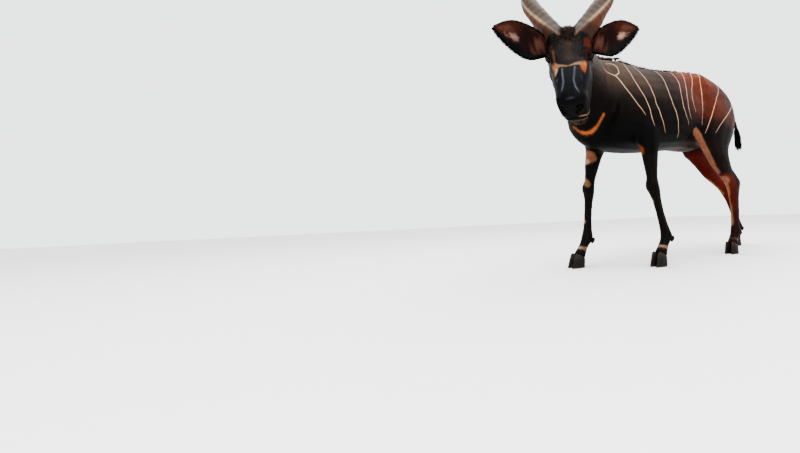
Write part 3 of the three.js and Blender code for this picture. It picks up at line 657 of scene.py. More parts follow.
def coatAt(points, normals):
    body, face = bodyLocal(points), headness(points)
    x, y, z = body.T
    rump = np.maximum(ramp(y + 0.3 * (z - 1.0), 0.24, 0.52) * ramp(z, 0.74, 0.86),
                      ramp(y, 0.44, 0.56) * ramp(z, 0.5, 0.66))
    hind = ramp(y, 0.42, 0.5) * ramp(z, 0.74, 0.68)
    inner = np.where(x > 0, -normals[:, 0], normals[:, 0])
    outside = ramp(inner, 0.15, -0.25) * ramp(y + 0.6 * (z - 0.7), 0.44, 0.54)
    stem = [tuple(tailPath(t) - bodyOrigin) for t in (0.15, 0.4, 0.7, 1)]
    tail = ramp(distanceTo(body, stem), 0.035, 0.026)
    colours = painted(
        plain("blackBrown", points),
        # Grey-brown high on the neck and shoulders: partly the coat's own colour, partly a painted sheen of
        # light on the glossy hair
        ("greyBrown", 0.75 * ramp(z, 0.84, 1.08) * ramp(y, 0.4, 0.0)),
        ("chestnut", rump),
        ("bright", rump * ramp(y, 0.36, 0.62) * ramp(y, 1.02, 0.7) * ramp(z, 0.8, 1.00)),
        # Orange along the top of the croup: partly the coat's own colour, partly a painted highlight where
        # light falls on the back
        ("orange", 0.28 * rump * ramp(y, 0.4, 0.55) * ramp(y, 0.95, 0.75) * ramp(z, 1.08, 1.24)),
        ("darkRed", 0.85 * ramp(y, 0.76, 1.00) * ramp(z, 0.62, 0.7) * ramp(z, 1.24, 1.1)),
        ("black", ramp(z, 0.84, 0.72) * ramp(y, 0.66, 0.5) * ramp(z, 0.55, 0.62)),
        # A pale line on the ridge of the croup: partly a real pale line, partly a painted highlight along the
        # top
        ("pale", 0.5 * rump * hump(x, 0, 0.006) * ramp(z, 1.14, 1.2) * ramp(y, 0.35, 0.45)),
        # Hind legs: red inside, dark behind, black outside above the hock, black-brown below it
        ("chestnut", hind),
        ("deepRed", hind * np.maximum(ramp(inner, -0.1, 0.5), ramp(-normals[:, 1], 0.3, 0.9) * 0.6)),
        ("darkRed", hind * ramp(normals[:, 1], 0.1, 0.7)),
        ("black", 0.88 * outside * ramp(z, 0.9, 0.8) * ramp(z, 0.42, 0.5)),
        ("black", 0.6 * ramp(y, 0.92, 1.06) * ramp(z, 1.16, 0.98) * ramp(z, 0.6, 0.7)),
        ("blackBrown", 0.8 * hind * ramp(z, 0.36, 0.16)),
        *((name, 0.9 * markMask(body * 1000, reach, line) * (1 - face)) for name, reach, line in bodyMarks),
        # Pale half rings stand before each pastern, as the species has them
        *(("pale", 0.85 * humpAround(body, np.array(joints[2]) + (0, -0.03, -0.052), (0.03, 0.03, 0.016)))
          for joints in legJoints.values()),
        ("chestnut", tail),
        ("black", tail * ramp(z, 0.93, 0.87)))
    colours = mixed(colours, faceColours(headLocal(points) * 1000), face[:, None])
    return earColours(colours, points, normals)


# Marks of the face in millimetres of its frame, mirrored: painted highlights (gleams) down the nose, and pale
# flecks on the cheek
faceMarks = {
    "gleams": [[(22, -108, 32), (20, -139, 28), (17, -168, 24), (22, -195, 17), (33, -214, 9),
                (44, -223, -2), (52, -225, -14)], [(41, -146, 14), (46, -169, 2), (42, -195, -2)]],
    "flecks": [((62, -196, -26), (20, 12, 9), 0.7), ((70, -40, -52), (24, 10, 9), 0.8),
               ((70, 6, -78), (24, 11, 10), 0.8)],
    "corner": [(57, -13, 42), (54, -27, 39), (51, -55, 32), (52, -72, 26)],
    "padGleam": [(-32, -242, -22), (-17, -233, -1), (7, -231, 5), (30, -234, 1), (38, -241, -21)],
    "eyeRing": (27, 6),
}


def faceColours(head):
    x, y, z = head.T
    aside = folded(head)
    side = aside[:, 0]
    lips = z - np.interp(y, mouthLine["y"], mouthLine["z"])
    thick = 2.6 + 4.5 * ramp(side, 14, 44)
    off = np.abs(y - (-101 + 0.42 * np.maximum(side - 6, 0)))
    patch = humpAround(aside, (58, -93, 10), (26, 36, 34))
    mottle = np.sin(0.9 * x + 3 * np.sin(0.35 * y)) * np.sin(0.55 * y + 2 * np.sin(0.3 * x) + 0.2 * z)
    ring = hump(lengths(aside - (68, 0, 6)), *faceMarks["eyeRing"])
    flat = np.array((1, 1, 0.3))
    return painted(
        plain("brow", head),
        ("muzzle", ramp(y, -92, -122)),
        ("darkRed", 0.5 * ramp(y, -20, 30) * ramp(z, 20, -20)),
        ("black", 0.8 * ramp(z, -50, -95)),
        ("greyBrown", 0.3 * hump(x, 0, 16) * ramp(y, -92, -60) * ramp(y, 56, 20) * ramp(z, 10, 30)),
        ("black", 0.6 * humpAround(aside, (60, 34, 62), (22, 30, 30))),
        # A patch on each cheek, and the tan band between them across the bridge of the nose
        ("orange", patch * (0.6 + 0.4 * ramp(x, -10, 10))),
        ("pale", patch * ramp(side, 52, 42) * ramp(x, 10, -10) * 0.9),
        ("tan", ramp(off, thick + 3.5, thick - 1) * ramp(z, 2, 14) * ramp(side, 64, 54)
         * (0.55 + 0.45 * ramp(side, 3, 9))),
        ("greyBrown", 0.5 * ramp(mottle, 0.35, 0.9) * ramp(y, -84, -70) * ramp(z, 20, 34)),
        ("tan", 0.32 * ramp(distanceTo(aside, faceMarks["corner"]), 9.0, 1.0) * ramp(x, 10, -10)),
        ("bright", 0.55 * ring * ramp(y, 24, 4) * np.maximum(ramp(z, 14, 26), ramp(y, -14, -24))),
        ("bright", 0.75 * humpAround(aside, (73, 22, 42), (22, 26, 22))),
        *(("pale", strength * humpAround(aside, *spot)) for *spot, strength in faceMarks["flecks"]),
        # Painted highlights: grey gleams down the nose that stand for light on the glossy hair
        *(("sheenGrey", 0.42 * ramp(distanceTo(aside * flat, np.array(line) * flat), 5.5, 0.5))
          for line in faceMarks["gleams"]),
        ("tan", 0.9 * ramp(y, -196, -210) * ramp(np.abs(lips - 7), 5, 3)),
        ("greyBrown", 0.5 * ramp(y, -206, -220) * ramp(lips, -7, -11) * ramp(lips, -26, -16)),
        ("muzzle", bareness(head)),
        # A painted highlight: a grey arc over the top of the nose pad
        ("sheenGrey", 0.38 * ramp(distanceTo(head, faceMarks["padGleam"]), 6.0, 1.5)),
        *(("black", ramp(lidEdge(fromHead(head), sideName)[0], 0.0034, 0.0018)) for sideName in sideSign))


# Bare wet skin: the pad of the nose, the nostrils and the edges of the lips
def bareness(head):
    x, y, z = head.T
    pad = ramp(y, -219, -228) * ramp(np.hypot(x / 42, (z + 34) / 43), 1.06, 0.92)
    hole = ramp(distanceTo(folded(head), nostril), 9, 6)
    slit = ramp(np.abs(z - np.interp(y, mouthLine["y"], mouthLine["z"])), 2.6, 1.4) * ramp(y, -130, -145)
    return np.maximum.reduce([pad, hole, slit])


# Each ear by the place along it (t) and round it (lower): black outside, red, tan and pale inside
def earColours(colours, points, normals):
    for side in sideSign:
        part, close, _ = alongEar(points, side)
        near = np.flatnonzero((part > 0.06) & (part < 1.05) & close)
        if not len(near):
            continue
        table = zip(*(earSection(side, t) for t in np.linspace(0.02, 0.98, 40)))
        index = np.clip(np.round((part[near] - 0.02) / 0.96 * 39), 0, 39).astype(int)
        centre, _, front, across, half, bend = (np.array(column)[index] for column in table)
        off = points[near] - centre
        lower = np.arctan2((off * across).sum(1) * sideSign[side], half / bend - (off * front).sum(1)) / bend
        inside = ramp((normals[near] * front).sum(1), -0.15, 0.25)
        wave = 0.03 * np.sin(41 * part[near] + 9 * lower) + 0.02 * np.sin(73 * lower - 31 * part[near])
        t, lower = part[near] + wave, lower + 2 * wave

        def spot(along, across, length, width):
            return ramp(np.hypot((t - along) / length, (lower - across) / width), 1.2, 0.3)

        outer = painted(plain("black", near), ("greyBrown", 0.35 * ramp(t, 0.3, 0.8) * (1 - inside)))
        inner = painted(
            plain("earRed", near),
            ("maroon", ramp(np.abs(t - 0.46), 0.2, 0.1) * ramp(np.abs(lower + 0.05), 0.95, 0.55)),
            ("earTan", 0.9 * spot(0.27, -0.15, 0.11, 0.55)),
            ("earTan", 0.8 * spot(0.8, -0.3, 0.14, 0.45)),
            ("earPatch", {"left": 0.9, "right": 0.55}[side] * spot(0.66, 0.22, 0.11, 0.26)),
            ("black", ramp(t, 0.2, 0.12)),
            ("black", ramp(lower, 0.48, 0.66)),
            ("black", ramp(-lower, 0.86, 0.96) * ramp(t, 0.75, 0.6)),
            ("black", ramp(t, 0.95, 0.99)))
        colours[near] = mixed(outer, inner, inside[:, None])
    return colours


# Coordinates drawn out along the lie of the hair, for the combed grain of the skin
def combed(points):
    body, face = bodyLocal(points), headness(points)[:, None]
    trunk = mixed(body * (1, 0.16, 0.8), body * (1, 1, 0.16), ramp(body[:, 2], 0.74, 0.62)[:, None])
    return trunk * (1 - face) + headLocal(points) * (1, 0.2, 1) * face


def paintSkin(mesh):
    points, normals = pointsOf(mesh), normalsOf(mesh)
    setColours(mesh, "coat", coatAt(points, normals))
    numbers = dict(zip(("lineOffset", "lineNear", "lineAlong"), lineField(bodyLocal(points))))
    numbers["bare"] = headness(points) * bareness(headLocal(points) * 1000)
    for name, values in numbers.items():
        mesh.attributes.new(name, "FLOAT", "POINT").data.foreach_set("value", values)
    mesh.attributes.new("comb", "FLOAT_VECTOR", "POINT").data.foreach_set("vector", combed(points).ravel())


paintSkin(skin.data)
print("coat coloured")


# Short glossy antelope hair on hide: black-brown to chestnut, crossed by thin pale lines, with a combed
# grain that gives a soft broken sheen; the bare nose is smooth, wet and black
hairFinish = {"IOR": 1.5, "Specular IOR Level": 0.11}


def makeCoat():
    material, tree = newMaterial("short glossy antelope hair")
    names = ("coat", "lineOffset", "lineNear", "lineAlong", "bare", "comb")
    read = {name: addNode(tree, "Attribute", {"attribute_name": name}).outputs for name in names}
    place = addNode(tree, "TexCoord").outputs["Object"]
    ragged = addNode(tree, "TexNoise", {"Scale": 150.0, "Detail": 3.0}, {"Vector": place})
    size = addNode(tree, "Math", {"operation": "ABSOLUTE"}, {0: read["lineOffset"]["Fac"]})
    edge = addNode(tree, "Math", {"operation": "MULTIPLY_ADD", 1: 0.0026}, {0: ragged, 2: size})
    ends = {"From Min": lineShape["half"] + 0.0022, "From Max": lineShape["half"] + 0.0008}
    line = addNode(tree, "MapRange", ends, {"Value": edge})
    ends = {"From Min": 1.0, "From Max": 0.7, "To Min": 0.45, "To Max": 1.0}
    fade = addNode(tree, "MapRange", ends, {"Value": read["lineAlong"]["Fac"]})
    near = addNode(tree, "Math", {"operation": "MULTIPLY"}, {0: line, 1: read["lineNear"]["Fac"]})
    shown = addNode(tree, "Math", {"operation": "MULTIPLY"}, {0: near, 1: fade})
    lined = addNode(tree, "Mix", {"data_type": "RGBA", 7: (*tint["pale"], 1)},
                    {0: shown, 6: read["coat"]["Color"]})
    mottle = addNode(tree, "TexNoise", {"Scale": 18.0, "Detail": 5.0, "Roughness": 0.6}, {"Vector": place})
    grain = addNode(tree, "TexNoise", {"Scale": 330.0, "Detail": 3.0}, {"Vector": read["comb"]["Vector"]})
    colour = multiplied(tree, multiplied(tree, lined.outputs[2], 0.45, 1.55, mottle), 0.6, 1.4, grain)
    pebbles = addNode(tree, "TexVoronoi", {"Scale": 420.0}, {"Vector": place})
    relief = addNode(tree, "Mix", {"data_type": "FLOAT"}, {0: read["bare"]["Fac"], 2: grain, 3: pebbles})
    bump = addNode(tree, "Bump", {"Strength": 0.45, "Distance": 0.002}, {"Height": relief})
    gloss = addNode(tree, "MapRange", {"To Min": 0.46, "To Max": 0.2}, {"Value": read["bare"]["Fac"]})
    closeMaterial(tree, addNode(tree, "BsdfPrincipled", hairFinish,
                                {"Base Color": colour, "Roughness": gloss, "Normal": bump}))
    return material


# The same hair in tufts: paler and drier towards their tips
def makeTuftHair():
    material, tree = newMaterial("guard hair in tufts")
    colour = addNode(tree, "Attribute", {"attribute_name": "coat"})
    place = addNode(tree, "TexCoord").outputs["Object"]
    strands = addNode(tree, "TexNoise", {"Scale": 500.0, "Detail": 2.0}, {"Vector": place})
    mottle = addNode(tree, "TexNoise", {"Scale": 18.0, "Detail": 5.0, "Roughness": 0.6}, {"Vector": place})
    shown = multiplied(tree, multiplied(tree, colour, 0.8, 1.2, strands), 0.45, 1.55, mottle)
    closeMaterial(tree, addNode(tree, "BsdfPrincipled", {"Roughness": 0.46, **hairFinish},
                                {"Base Color": shown}))
    return material


tuftMaterial = makeTuftHair()
finished(skin, makeCoat(), fleshNodes + ["ear_left", "ear_right", "tail"])

# Tufts: closed flat locks along a bend of three points, three sided and tapering, joined in arrays
lockShape = {"thick": 0.56, "taper": 0.55, "patch": (0.0015, 0.003)}


def makeLocks(name, roots, middles, tips, side, width, colours, uv, rings=1, shade=(0.85, 1.2)):
    count, each = len(roots), 3 * rings + 1
    up = unit(np.cross(side, tips - roots))
    rows = []
    for t in np.arange(rings) / rings:
        centre = (1 - t) ** 2 * roots + 2 * t * (1 - t) * middles + t ** 2 * tips
        half = np.broadcast_to(width / 2 * (1 - t) ** lockShape["taper"] * (0.8 + 0.8 * t), count)[:, None]
        rows += [centre - side * half, centre + side * half, centre + up * half * lockShape["thick"]]
    sides = ((0, 1), (1, 2), (2, 0))
    tris = [(0, 1, 2)]
    for a in range(0, 3 * rings - 3, 3):
        for i, j in sides:
            tris += [(a + i, a + 3 + i, a + 3 + j), (a + i, a + 3 + j, a + j)]
    tris += [(each - 4 + i, each - 1, each - 4 + j) for i, j in sides]
    faces = (np.array(tris)[None] + each * np.arange(count)[:, None, None]).reshape(-1, 3)
    mesh = bpy.data.meshes.new(name)
    mesh.vertices.add(count * each)
    mesh.vertices.foreach_set("co", np.stack(rows + [tips], 1).ravel())
    mesh.loops.add(faces.size)
    mesh.loops.foreach_set("vertex_index", faces.ravel())
    mesh.polygons.add(len(faces))
    mesh.polygons.foreach_set("loop_start", np.arange(0, faces.size, 3))
    mesh.update(calc_edges=True)
    t = np.append(np.repeat(np.arange(rings) / rings, 3), 1)
    setColours(mesh, "coat", (colours[:, None] * mixed(*shade, t)[None, :, None]).reshape(-1, 3))
    across = np.append(np.tile([-1, 1, 0], rings), 0)
    patch = uv[:, None] + (np.stack([across, t - 0.5], 1) * lockShape["patch"])[None]
    mesh.uv_layers.new(name="OFBake").data.foreach_set("uv", patch.reshape(-1, 2)[faces.ravel()].ravel())
    finished(addObject(name, mesh), tuftMaterial, [], smooth=rings > 1)


# The skin unwrapped by its own shape, so that each tuft knows its root's place
def unwrapSkin():
    skin.data.uv_layers.new(name="OFBake")
    bpy.ops.object.select_all(action="DESELECT")
    skin.select_set(True)
    bpy.context.view_layer.objects.active = skin
    bpy.ops.object.mode_set(mode="EDIT")
    bpy.ops.mesh.select_all(action="SELECT")
    bpy.ops.uv.smart_project(angle_limit=math.radians(70), island_margin=0.002)
    bpy.ops.object.mode_set(mode="OBJECT")


unwrapSkin()
print("skin unwrapped")
skinPoints, skinNormals = pointsOf(skin.data), normalsOf(skin.data)
skin.data.calc_loop_triangles()
triangles = skin.data.loop_triangles
corners, cornerLoops = (readVectors(triangles, key).astype(int) for key in ("vertices", "loops"))
faceAreas = readVectors(triangles, "area", 1)[:, 0]
skinUv = readVectors(skin.data.uv_layers["OFBake"].data, "uv", 2)
skinTree = BVHTree.FromPolygons([tuple(p) for p in skinPoints], [tuple(c) for c in corners])


# Nearest place of the skin, its normal and its unwrapped place
def onSkin(points):
    places, _, index, _ = zip(*(skinTree.find_nearest(Vector(p)) for p in points))
    index = np.array(index)
    return np.array(places), unit(skinNormals[corners[index]].mean(1)), skinUv[cornerLoops[index]].mean(1)


# Random roots on the skin, with so many on each square centimetre
def scatter(perCentimetre):
    wanted = faceAreas * 1e4 * perCentimetre
    count = np.floor(wanted + draw.random(len(wanted))).astype(int)
    chosen = np.repeat(np.arange(len(wanted)), count)
    a, b = np.sqrt(draw.random(len(chosen))), draw.random(len(chosen))
    weights = np.stack([1 - a, a * (1 - b), a * b], 1)[:, :, None]
    place, normal, uv = ((values[at[chosen]] * weights).sum(1) for values, at in (
        (skinPoints, corners), (skinNormals, corners), (skinUv, cornerLoops)))
    return place, unit(normal), uv


# The lie of the hair: back along neck and trunk, down the legs, from the nose to the brow, out along the ears
def lieOf(points, normals):
    body, head = bodyLocal(points), headLocal(points)
    y, z = body[:, 1, None], body[:, 2, None]
    line = np.array(spine[::-1])
    far = lengths(body[:, None] - (line[:-1] + line[1:])[None] / 2)
    neck = unit(np.diff(line, axis=0))[far.argmin(1)] + (0, 0, -0.5)
    back = np.stack([head[:, 0] * 3, np.ones(len(head)), np.zeros(len(head))], 1) @ headTurned.T
    way = mixed(np.array([0, 1, -0.3]), neck, ramp(y, 0.1, -0.15)) + (0, 0, -0.9) * ramp(z, 0.86, 0.7)
    way = mixed(way, np.array([0, 0.12, -1]), ramp(z, 0.74, 0.62))
    way = mixed(way, back, headness(points)[:, None])
    for side in sideSign:
        part, close, ahead = alongEar(points, side)
        way[(part > 0.1) & close] = ahead
    return unit(way - normals * (way * normals).sum(1, keepdims=True))


# The pale lines stay clean: no tuft stands in one or reaches over one
def clearOfLines(roots, tips):
    root, tip = (lineField(bodyLocal(points))[0] for points in (roots, tips))
    edge = lineShape["half"] * 1.15
    crossing = (root * tip < 0) & (np.abs(root) + np.abs(tip) < 0.03)
    return (np.abs(root) > edge) & (np.abs(tip) > edge) & ~crossing


coatPieces = {  # part of the skin: tufts on a square centimetre, length, width and lift
    "coatFace": (17.0, 0.007, 0.0015, 0.05),
    "coatEars": (14.0, 0.008, 0.0015, 0.05),
    "coatNeck": (9.2, 0.013, 0.0022, 0.05),
    "coatShoulders": (9.5, 0.013, 0.0022, 0.04),
    "coatFlanks": (7.2, 0.014, 0.0025, 0.04),
    "coatRump": (7.0, 0.014, 0.0024, 0.04),
    "coatForelegs": (13.0, 0.01, 0.0017, 0.05),
    "coatHindlegs": (10.5, 0.0105, 0.0018, 0.05),
}
coatShape = {"sink": 0.0012, "tousle": 0.22, "uneven": 0.07, "bareFrom": 0.3, "lidClear": 0.0035,
             "eyeClear": 0.02}


def combOver(name, chosen, perCentimetre, length, width, lift):
    roots, normals, uv = scatter(np.where(chosen, perCentimetre, 0))
    edge, far = nearEyes(roots)
    keep = (edge > coatShape["lidClear"]) & (far > coatShape["eyeClear"])
    keep &= bareness(headLocal(roots) * 1000) * headness(roots) < coatShape["bareFrom"]
    roots, normals, uv = roots[keep], normals[keep], uv[keep]
    size = draw.uniform(0.7, 1.3, len(roots))[:, None]
    way = lieOf(roots, normals)
    way = unit(way + np.cross(normals, way) * draw.normal(0, coatShape["tousle"], (len(roots), 1)))
    stand = lift * draw.uniform(0.5, 1.5, (len(roots), 1))
    reach = length * size
    start = roots - normals * coatShape["sink"]
    middle = start + way * reach * 0.45 + normals * (coatShape["sink"] + stand * reach * 0.9)
    tip = start + way * reach + normals * (coatShape["sink"] + stand * reach * 0.7)
    clear = clearOfLines(roots, tip)
    roots, normals, start, middle, tip, way, size, uv = (
        values[clear] for values in (roots, normals, start, middle, tip, way, size, uv))
    colours = coatAt(roots, normals) * (1 + coatShape["uneven"] * draw.normal(size=(len(roots), 1)))
    makeLocks(name, start, middle, tip, np.cross(normals, way), width * size[:, 0], colours, uv)
    print(name, len(roots), "tufts")


def regionOf(points):
    _, y, z = bodyLocal(points).T
    names = np.full(len(points), "coatFlanks", dtype="<U16")
    for name, chosen in {"coatRump": y > 0.7, "coatShoulders": y < 0.18, "coatNeck": y < -0.12,
                         "coatForelegs": (z < 0.64) & (y < 0.3), "coatHindlegs": (z < 0.68) & (y >= 0.3),
                         "coatFace": headness(points) > 0.5}.items():
        names[chosen] = name
    for side in sideSign:
        part, close, _ = alongEar(points, side)
        names[(part > 0.12) & close] = "coatEars"
    return names


regions = regionOf(skinPoints[corners].mean(1))
for name, settings in coatPieces.items():
    combOver(name, regions == name, *settings)

# Crest: a short upright mane from the poll to the croup, each lock leaning back
crestShape = {"count": 2600, "spread": 0.011, "length": (0.03, 0.05), "width": 0.0048,
              "lean": (0.45, 0.95)}


def makeCrest():
    path, count = curveThrough(spine), crestShape["count"]
    t = np.sort(draw.uniform(0.02, 1.0, count))
    places = np.array([path(part) for part in t]) + np.array(bodyOrigin)
    ahead = unit(np.array([path(max(0, part - 0.01)) - path(min(1, part + 0.01)) for part in t]))
    side = unit(np.cross(ahead, (0, 0, 1)))
    places += side * draw.normal(0, crestShape["spread"], (count, 1)) + (0, 0, 0.03)
    roots, normals, uv = onSkin(places)
    reach = draw.uniform(*crestShape["length"], (count, 1)) * (1 - 0.35 * ramp(t, 0.5, 0.2))[:, None]
    lean = draw.uniform(*crestShape["lean"], (count, 1))
    fall = ahead + side * draw.normal(0, 0.22, (count, 1))
    start = roots - normals * 0.003
    middle = start + normals * reach * 0.55 + fall * reach * 0.12
    tip = start + normals * reach * (0.95 - 0.55 * lean) + fall * reach * lean
    colours = painted(
        coatAt(roots, normals),
        ("blackBrown", 0.5 * ramp(t, 0.3, 0.5)),
        ("greyBrown", draw.random(count) * 0.8 * ramp(t, 0.35, 0.5)),
        ("pale", draw.random(count) ** 2 * 0.6 * ramp(t, 0.5, 0.65) * ramp(t, 0.98, 0.92)))
    makeLocks("crest", start, middle, tip, unit(np.cross(fall, normals)), crestShape["width"], colours, uv,
              rings=3, shade=(0.7, 1.4))


makeCrest()

# Ear fringes: bristles off the lower rim, short hair off the upper rim, and pale hair across the cup
fringeShape = {"count": 2600, "lower": 0.014, "upper": 0.005, "cup": 90, "cupLength": 0.018, "width": 0.0008}


def makeEarHair(side):
    hairs = []
    for i in range(fringeShape["count"] + fringeShape["cup"]):
        inCup = i >= fringeShape["count"]
        t = draw.normal(0.64, 0.05) if inCup else draw.uniform(0.1, 0.985)
        centre, ahead, front, across, half, bend = earSection(side, t)
        across = across * sideSign[side]
        low = 1 if draw.random() < 0.62 else -1
        turn = (draw.uniform(0.0, 0.45) if inCup else low * draw.uniform(0.9, 1.0)) * bend
        place = centre + across * math.sin(turn) * half / bend + front * (half / bend) * (1 - math.cos(turn))
        outward = (across * math.cos(turn) + front * math.sin(turn)) * (1 if turn > 0 else -1)
        if inCup:
            reach = fringeShape["cupLength"] * draw.uniform(0.5, 1.1)
            way = ahead * 0.9 + outward * draw.uniform(-0.2, 0.5) + front * draw.uniform(0.05, 0.2)
            colour = tint["earPatch"] * draw.uniform(0.6, 1.1)
        else:
            reach = fringeShape["lower" if low > 0 else "upper"] * draw.uniform(0.5, 1.1)
            reach *= min(1, 0.45 + 2.2 * t * (1.15 - t))
            way = ahead * draw.uniform(0.45, 1.0) + outward * 0.85 + front * draw.normal(0, 0.18)
            colour = tint["black"]
        hairs.append((place, way.normalized(), front, [reach], colour))
    roots, ways, fronts, reaches, colours = (np.array(column) for column in zip(*hairs))
    ways = unit(ways)
    middle = roots + ways * reaches * 0.5 + fronts * reaches * 0.06
    tips = roots + ways * reaches - (0, 0, 0.12) * reaches
    width = fringeShape["width"] * draw.uniform(0.7, 1.5, len(roots))
    makeLocks("earHair" + side.capitalize(), roots - ways * 0.003, middle, tips,
              unit(np.cross(fronts, ways)), width, colours, onSkin(roots)[2], rings=3, shade=(0.8, 1.5))


for side in sideSign:
    makeEarHair(side)

# Tail tuft: long black locks round the end of the stem, spread a little and hanging
tuftShape = {"count": 420, "from": 0.66, "fall": (0.07, 0.125), "spread": 0.03, "width": 0.006}


def makeTailTuft():
    count = tuftShape["count"]
    t = np.clip(draw.uniform(tuftShape["from"], 1.02, count), 0, 1)
    angle = draw.uniform(0, 2 * math.pi, count)
    out = np.stack([np.cos(angle), np.sin(angle), np.zeros(count)], 1)
    roots = np.array([tailPath(part) for part in t]) + out * 0.004
    past = (t - tuftShape["from"]) / (1 - tuftShape["from"])
    fall = (draw.uniform(*tuftShape["fall"], count) * (1.15 - 0.45 * past))[:, None]
    spread = out * tuftShape["spread"] * draw.uniform(0.4, 1.1, (count, 1))
    tips = roots + spread * draw.uniform(0.1, 0.9, (count, 1)) - (0, 0, 1) * fall
    colours = plain("black", t) * (1 + 0.5 * draw.random((count, 1)))
    makeLocks("tailTuft", roots, roots + spread - (0, 0, 0.45) * fall, tips, unit(np.cross(out, (0, 0, -1))),
              tuftShape["width"], colours, onSkin(roots)[2], rings=4, shade=(0.8, 1.5))


makeTailTuft()

# Longer hair where the coat breaks the form: places in millimetres of the head's frame, black to its tips
longHair = {
    "pollHair": {"count": 2200, "at": (0, 48, 70), "spread": (26, 32, 12), "lie": (0, 0.8, 0.2),
                 "length": 0.013, "width": 0.001, "tips": "greyBrown"},
    "chinHair": {"count": 520, "at": (24, -214, -108), "spread": (26, 26, 16), "lie": (0, 0.1, -1),
                 "length": 0.015, "width": 0.0009, "tips": "tan"},
    "jawHair": {"count": 500, "at": (22, -140, -118), "spread": (30, 60, 12), "lie": (0, 0.7, -0.7),
                "length": 0.016, "width": 0.0016, "tips": "brow"},
}


def makeLongHair(name, count, at, spread, lie, length, width, tips, stand=0.35):
    places = fromHead(np.array(at) + draw.normal(0, 0.55, (count, 3)) * np.array(spread))
    roots, normals, uv = onSkin(places)
    way = unit(np.array(lie) @ headTurned.T + normals * stand + draw.normal(0, 0.22, (count, 3)))
    reach = length * draw.uniform(0.5, 1.2, (count, 1))
    start = roots - normals * 0.0015
    colours = painted(plain("black", roots), (tips, draw.random(count) ** 2))
    makeLocks(name, start, start + (way * 0.35 + normals * 0.25) * reach, start + way * reach,
              unit(np.cross(way, normals)), width, colours, uv, rings=3, shade=(0.8, 1.4))


for name, settings in longHair.items():
    makeLongHair(name, **settings)

# Lashes along the upper lids
lashShape = {"lashes": 46, "length": 0.013, "width": 0.0007, "off": 0.0004}


def makeLashes():
    lid, off = eyeShape["lid"], lashShape["off"]
    hairs = []
    for side in sideSign:
        centre, out, ahead, up = eyeFrame(side)
        for v in np.linspace(-0.85, 0.9, lashShape["lashes"]) * eyeShape["half"]:
            w = eyeShape["upper"] * (1 - (v / eyeShape["half"]) ** 2) + off - eyeShape["slant"] * v
            away = unit(out * math.sqrt(max(1e-6, lid ** 2 - v * v - w * w)) + ahead * v + up * w)
            way = unit(away + ahead * v * 30 + up * draw.uniform(-0.05, 0.25))
            hairs.append((centre + away * (lid + off), way, ahead))
    starts, ways, sides = (np.array(column) for column in zip(*hairs))
    reach = lashShape["length"] * draw.uniform(0.7, 1.1, (len(starts), 1))
    middle = starts + ways * reach * 0.5 - (0, 0, 0.1) * reach
    tips = starts + ways * reach + (0, 0, 0.18) * reach
    makeLocks("lashes", starts, middle, tips, unit(sides), lashShape["width"], plain("black", starts),
              onSkin(starts)[2], rings=3)


makeLashes()
print("long hair made")


# Eyes: near-black balls with a dark brown ring round a long flat pupil, under a clear wet cornea
eyeColours = {"iris": "#241009", "irisRim": "#0a0605", "eyeWhite": "#3d2a22"}


def addTints(colours):
    tint.update({name: linear(code) for name, code in colours.items()})


def makeEye(side):
    centre, out, ahead, up = (Vector(v) for v in eyeFrame(side))
    turn = Matrix((ahead, out.cross(ahead), out)).transposed()
    shape = bmesh.new()
    bmesh.ops.create_uvsphere(shape, u_segments=56, v_segments=36, radius=eyeShape["radius"])
    for vert in shape.verts:
        swell = 1 + 0.035 * math.exp(-((1 - vert.co.z / eyeShape["radius"]) / 0.12) ** 2)
        vert.co = centre + turn @ (vert.co * swell)
    mesh = meshFrom(welded(shape), "eye")
    away = (pointsOf(mesh) - np.array(centre)) / eyeShape["radius"]
    v, w = away @ np.array(ahead), away @ np.array(up)
    far = np.hypot(v, w)
    colour = painted(plain("iris", v), ("irisRim", ramp(far, 0.55, 0.66)),
                     ("eyeWhite", ramp(far, 0.8, 0.95) * 0.8))
    pupil = ramp(np.hypot(v / 0.36, w / 0.17), 1.1, 0.85)
    setColours(mesh, "eye", colour * (1 - pupil)[:, None] + 0.001)
    return addObject("eyeball" + side.capitalize(), mesh)


def makeEyeMaterial():
    material, tree = newMaterial("wet dark eye")
    colour = addNode(tree, "Attribute", {"attribute_name": "eye"})
    place = addNode(tree, "TexCoord").outputs["Object"]
    streaks = addNode(tree, "TexNoise", {"Scale": 700.0, "Detail": 2.0}, {"Vector": place})
    finish = {"Roughness": 0.06, "IOR": 1.38, "Specular IOR Level": 0.3}
    closeMaterial(tree, addNode(tree, "BsdfPrincipled", finish,
                                {"Base Color": multiplied(tree, colour, 0.6, 1.4, streaks)}))
    return material


addTints(eyeColours)
eyeMaterial = makeEyeMaterial()
for side in sideSign:
    finished(makeEye(side), eyeMaterial, ["eye_" + side])
print("eyes made")

# Horns: keeled, twisting once, ridged near the root and ivory at the tip
hornShape = {"root": (0.022, 0.05, 0.022), "length": 0.745, "girth": 0.088, "spread": 0.16, "lift": 0.45,
             "twist": 300, "keelStart": 6, "lag": 110, "steps": 14, "around": 56, "along": 200}
hornColours = {"hornInner": "#3f3024", "hornOuter": "#55301c", "keel": "#a98f74", "hornTip": "#cdb78c",
               "hornRoot": "#1c1410"}


def hornCurve(side):
    reach, (x, y, z) = 0.9 * hornShape["length"], hornShape["root"]
    points = []
    for i in range(hornShape["steps"] + 1):
        t = i / hornShape["steps"]
        out = hornShape["spread"] * (1 - ((t - 0.6) / 0.6) ** 2)
        rise = reach * (hornShape["lift"] * t - 0.5 * t ** 2)
        points.append(Vector((sideSign[side] * (x + out), y + reach * t, z + rise)))
    return curveThrough(points)


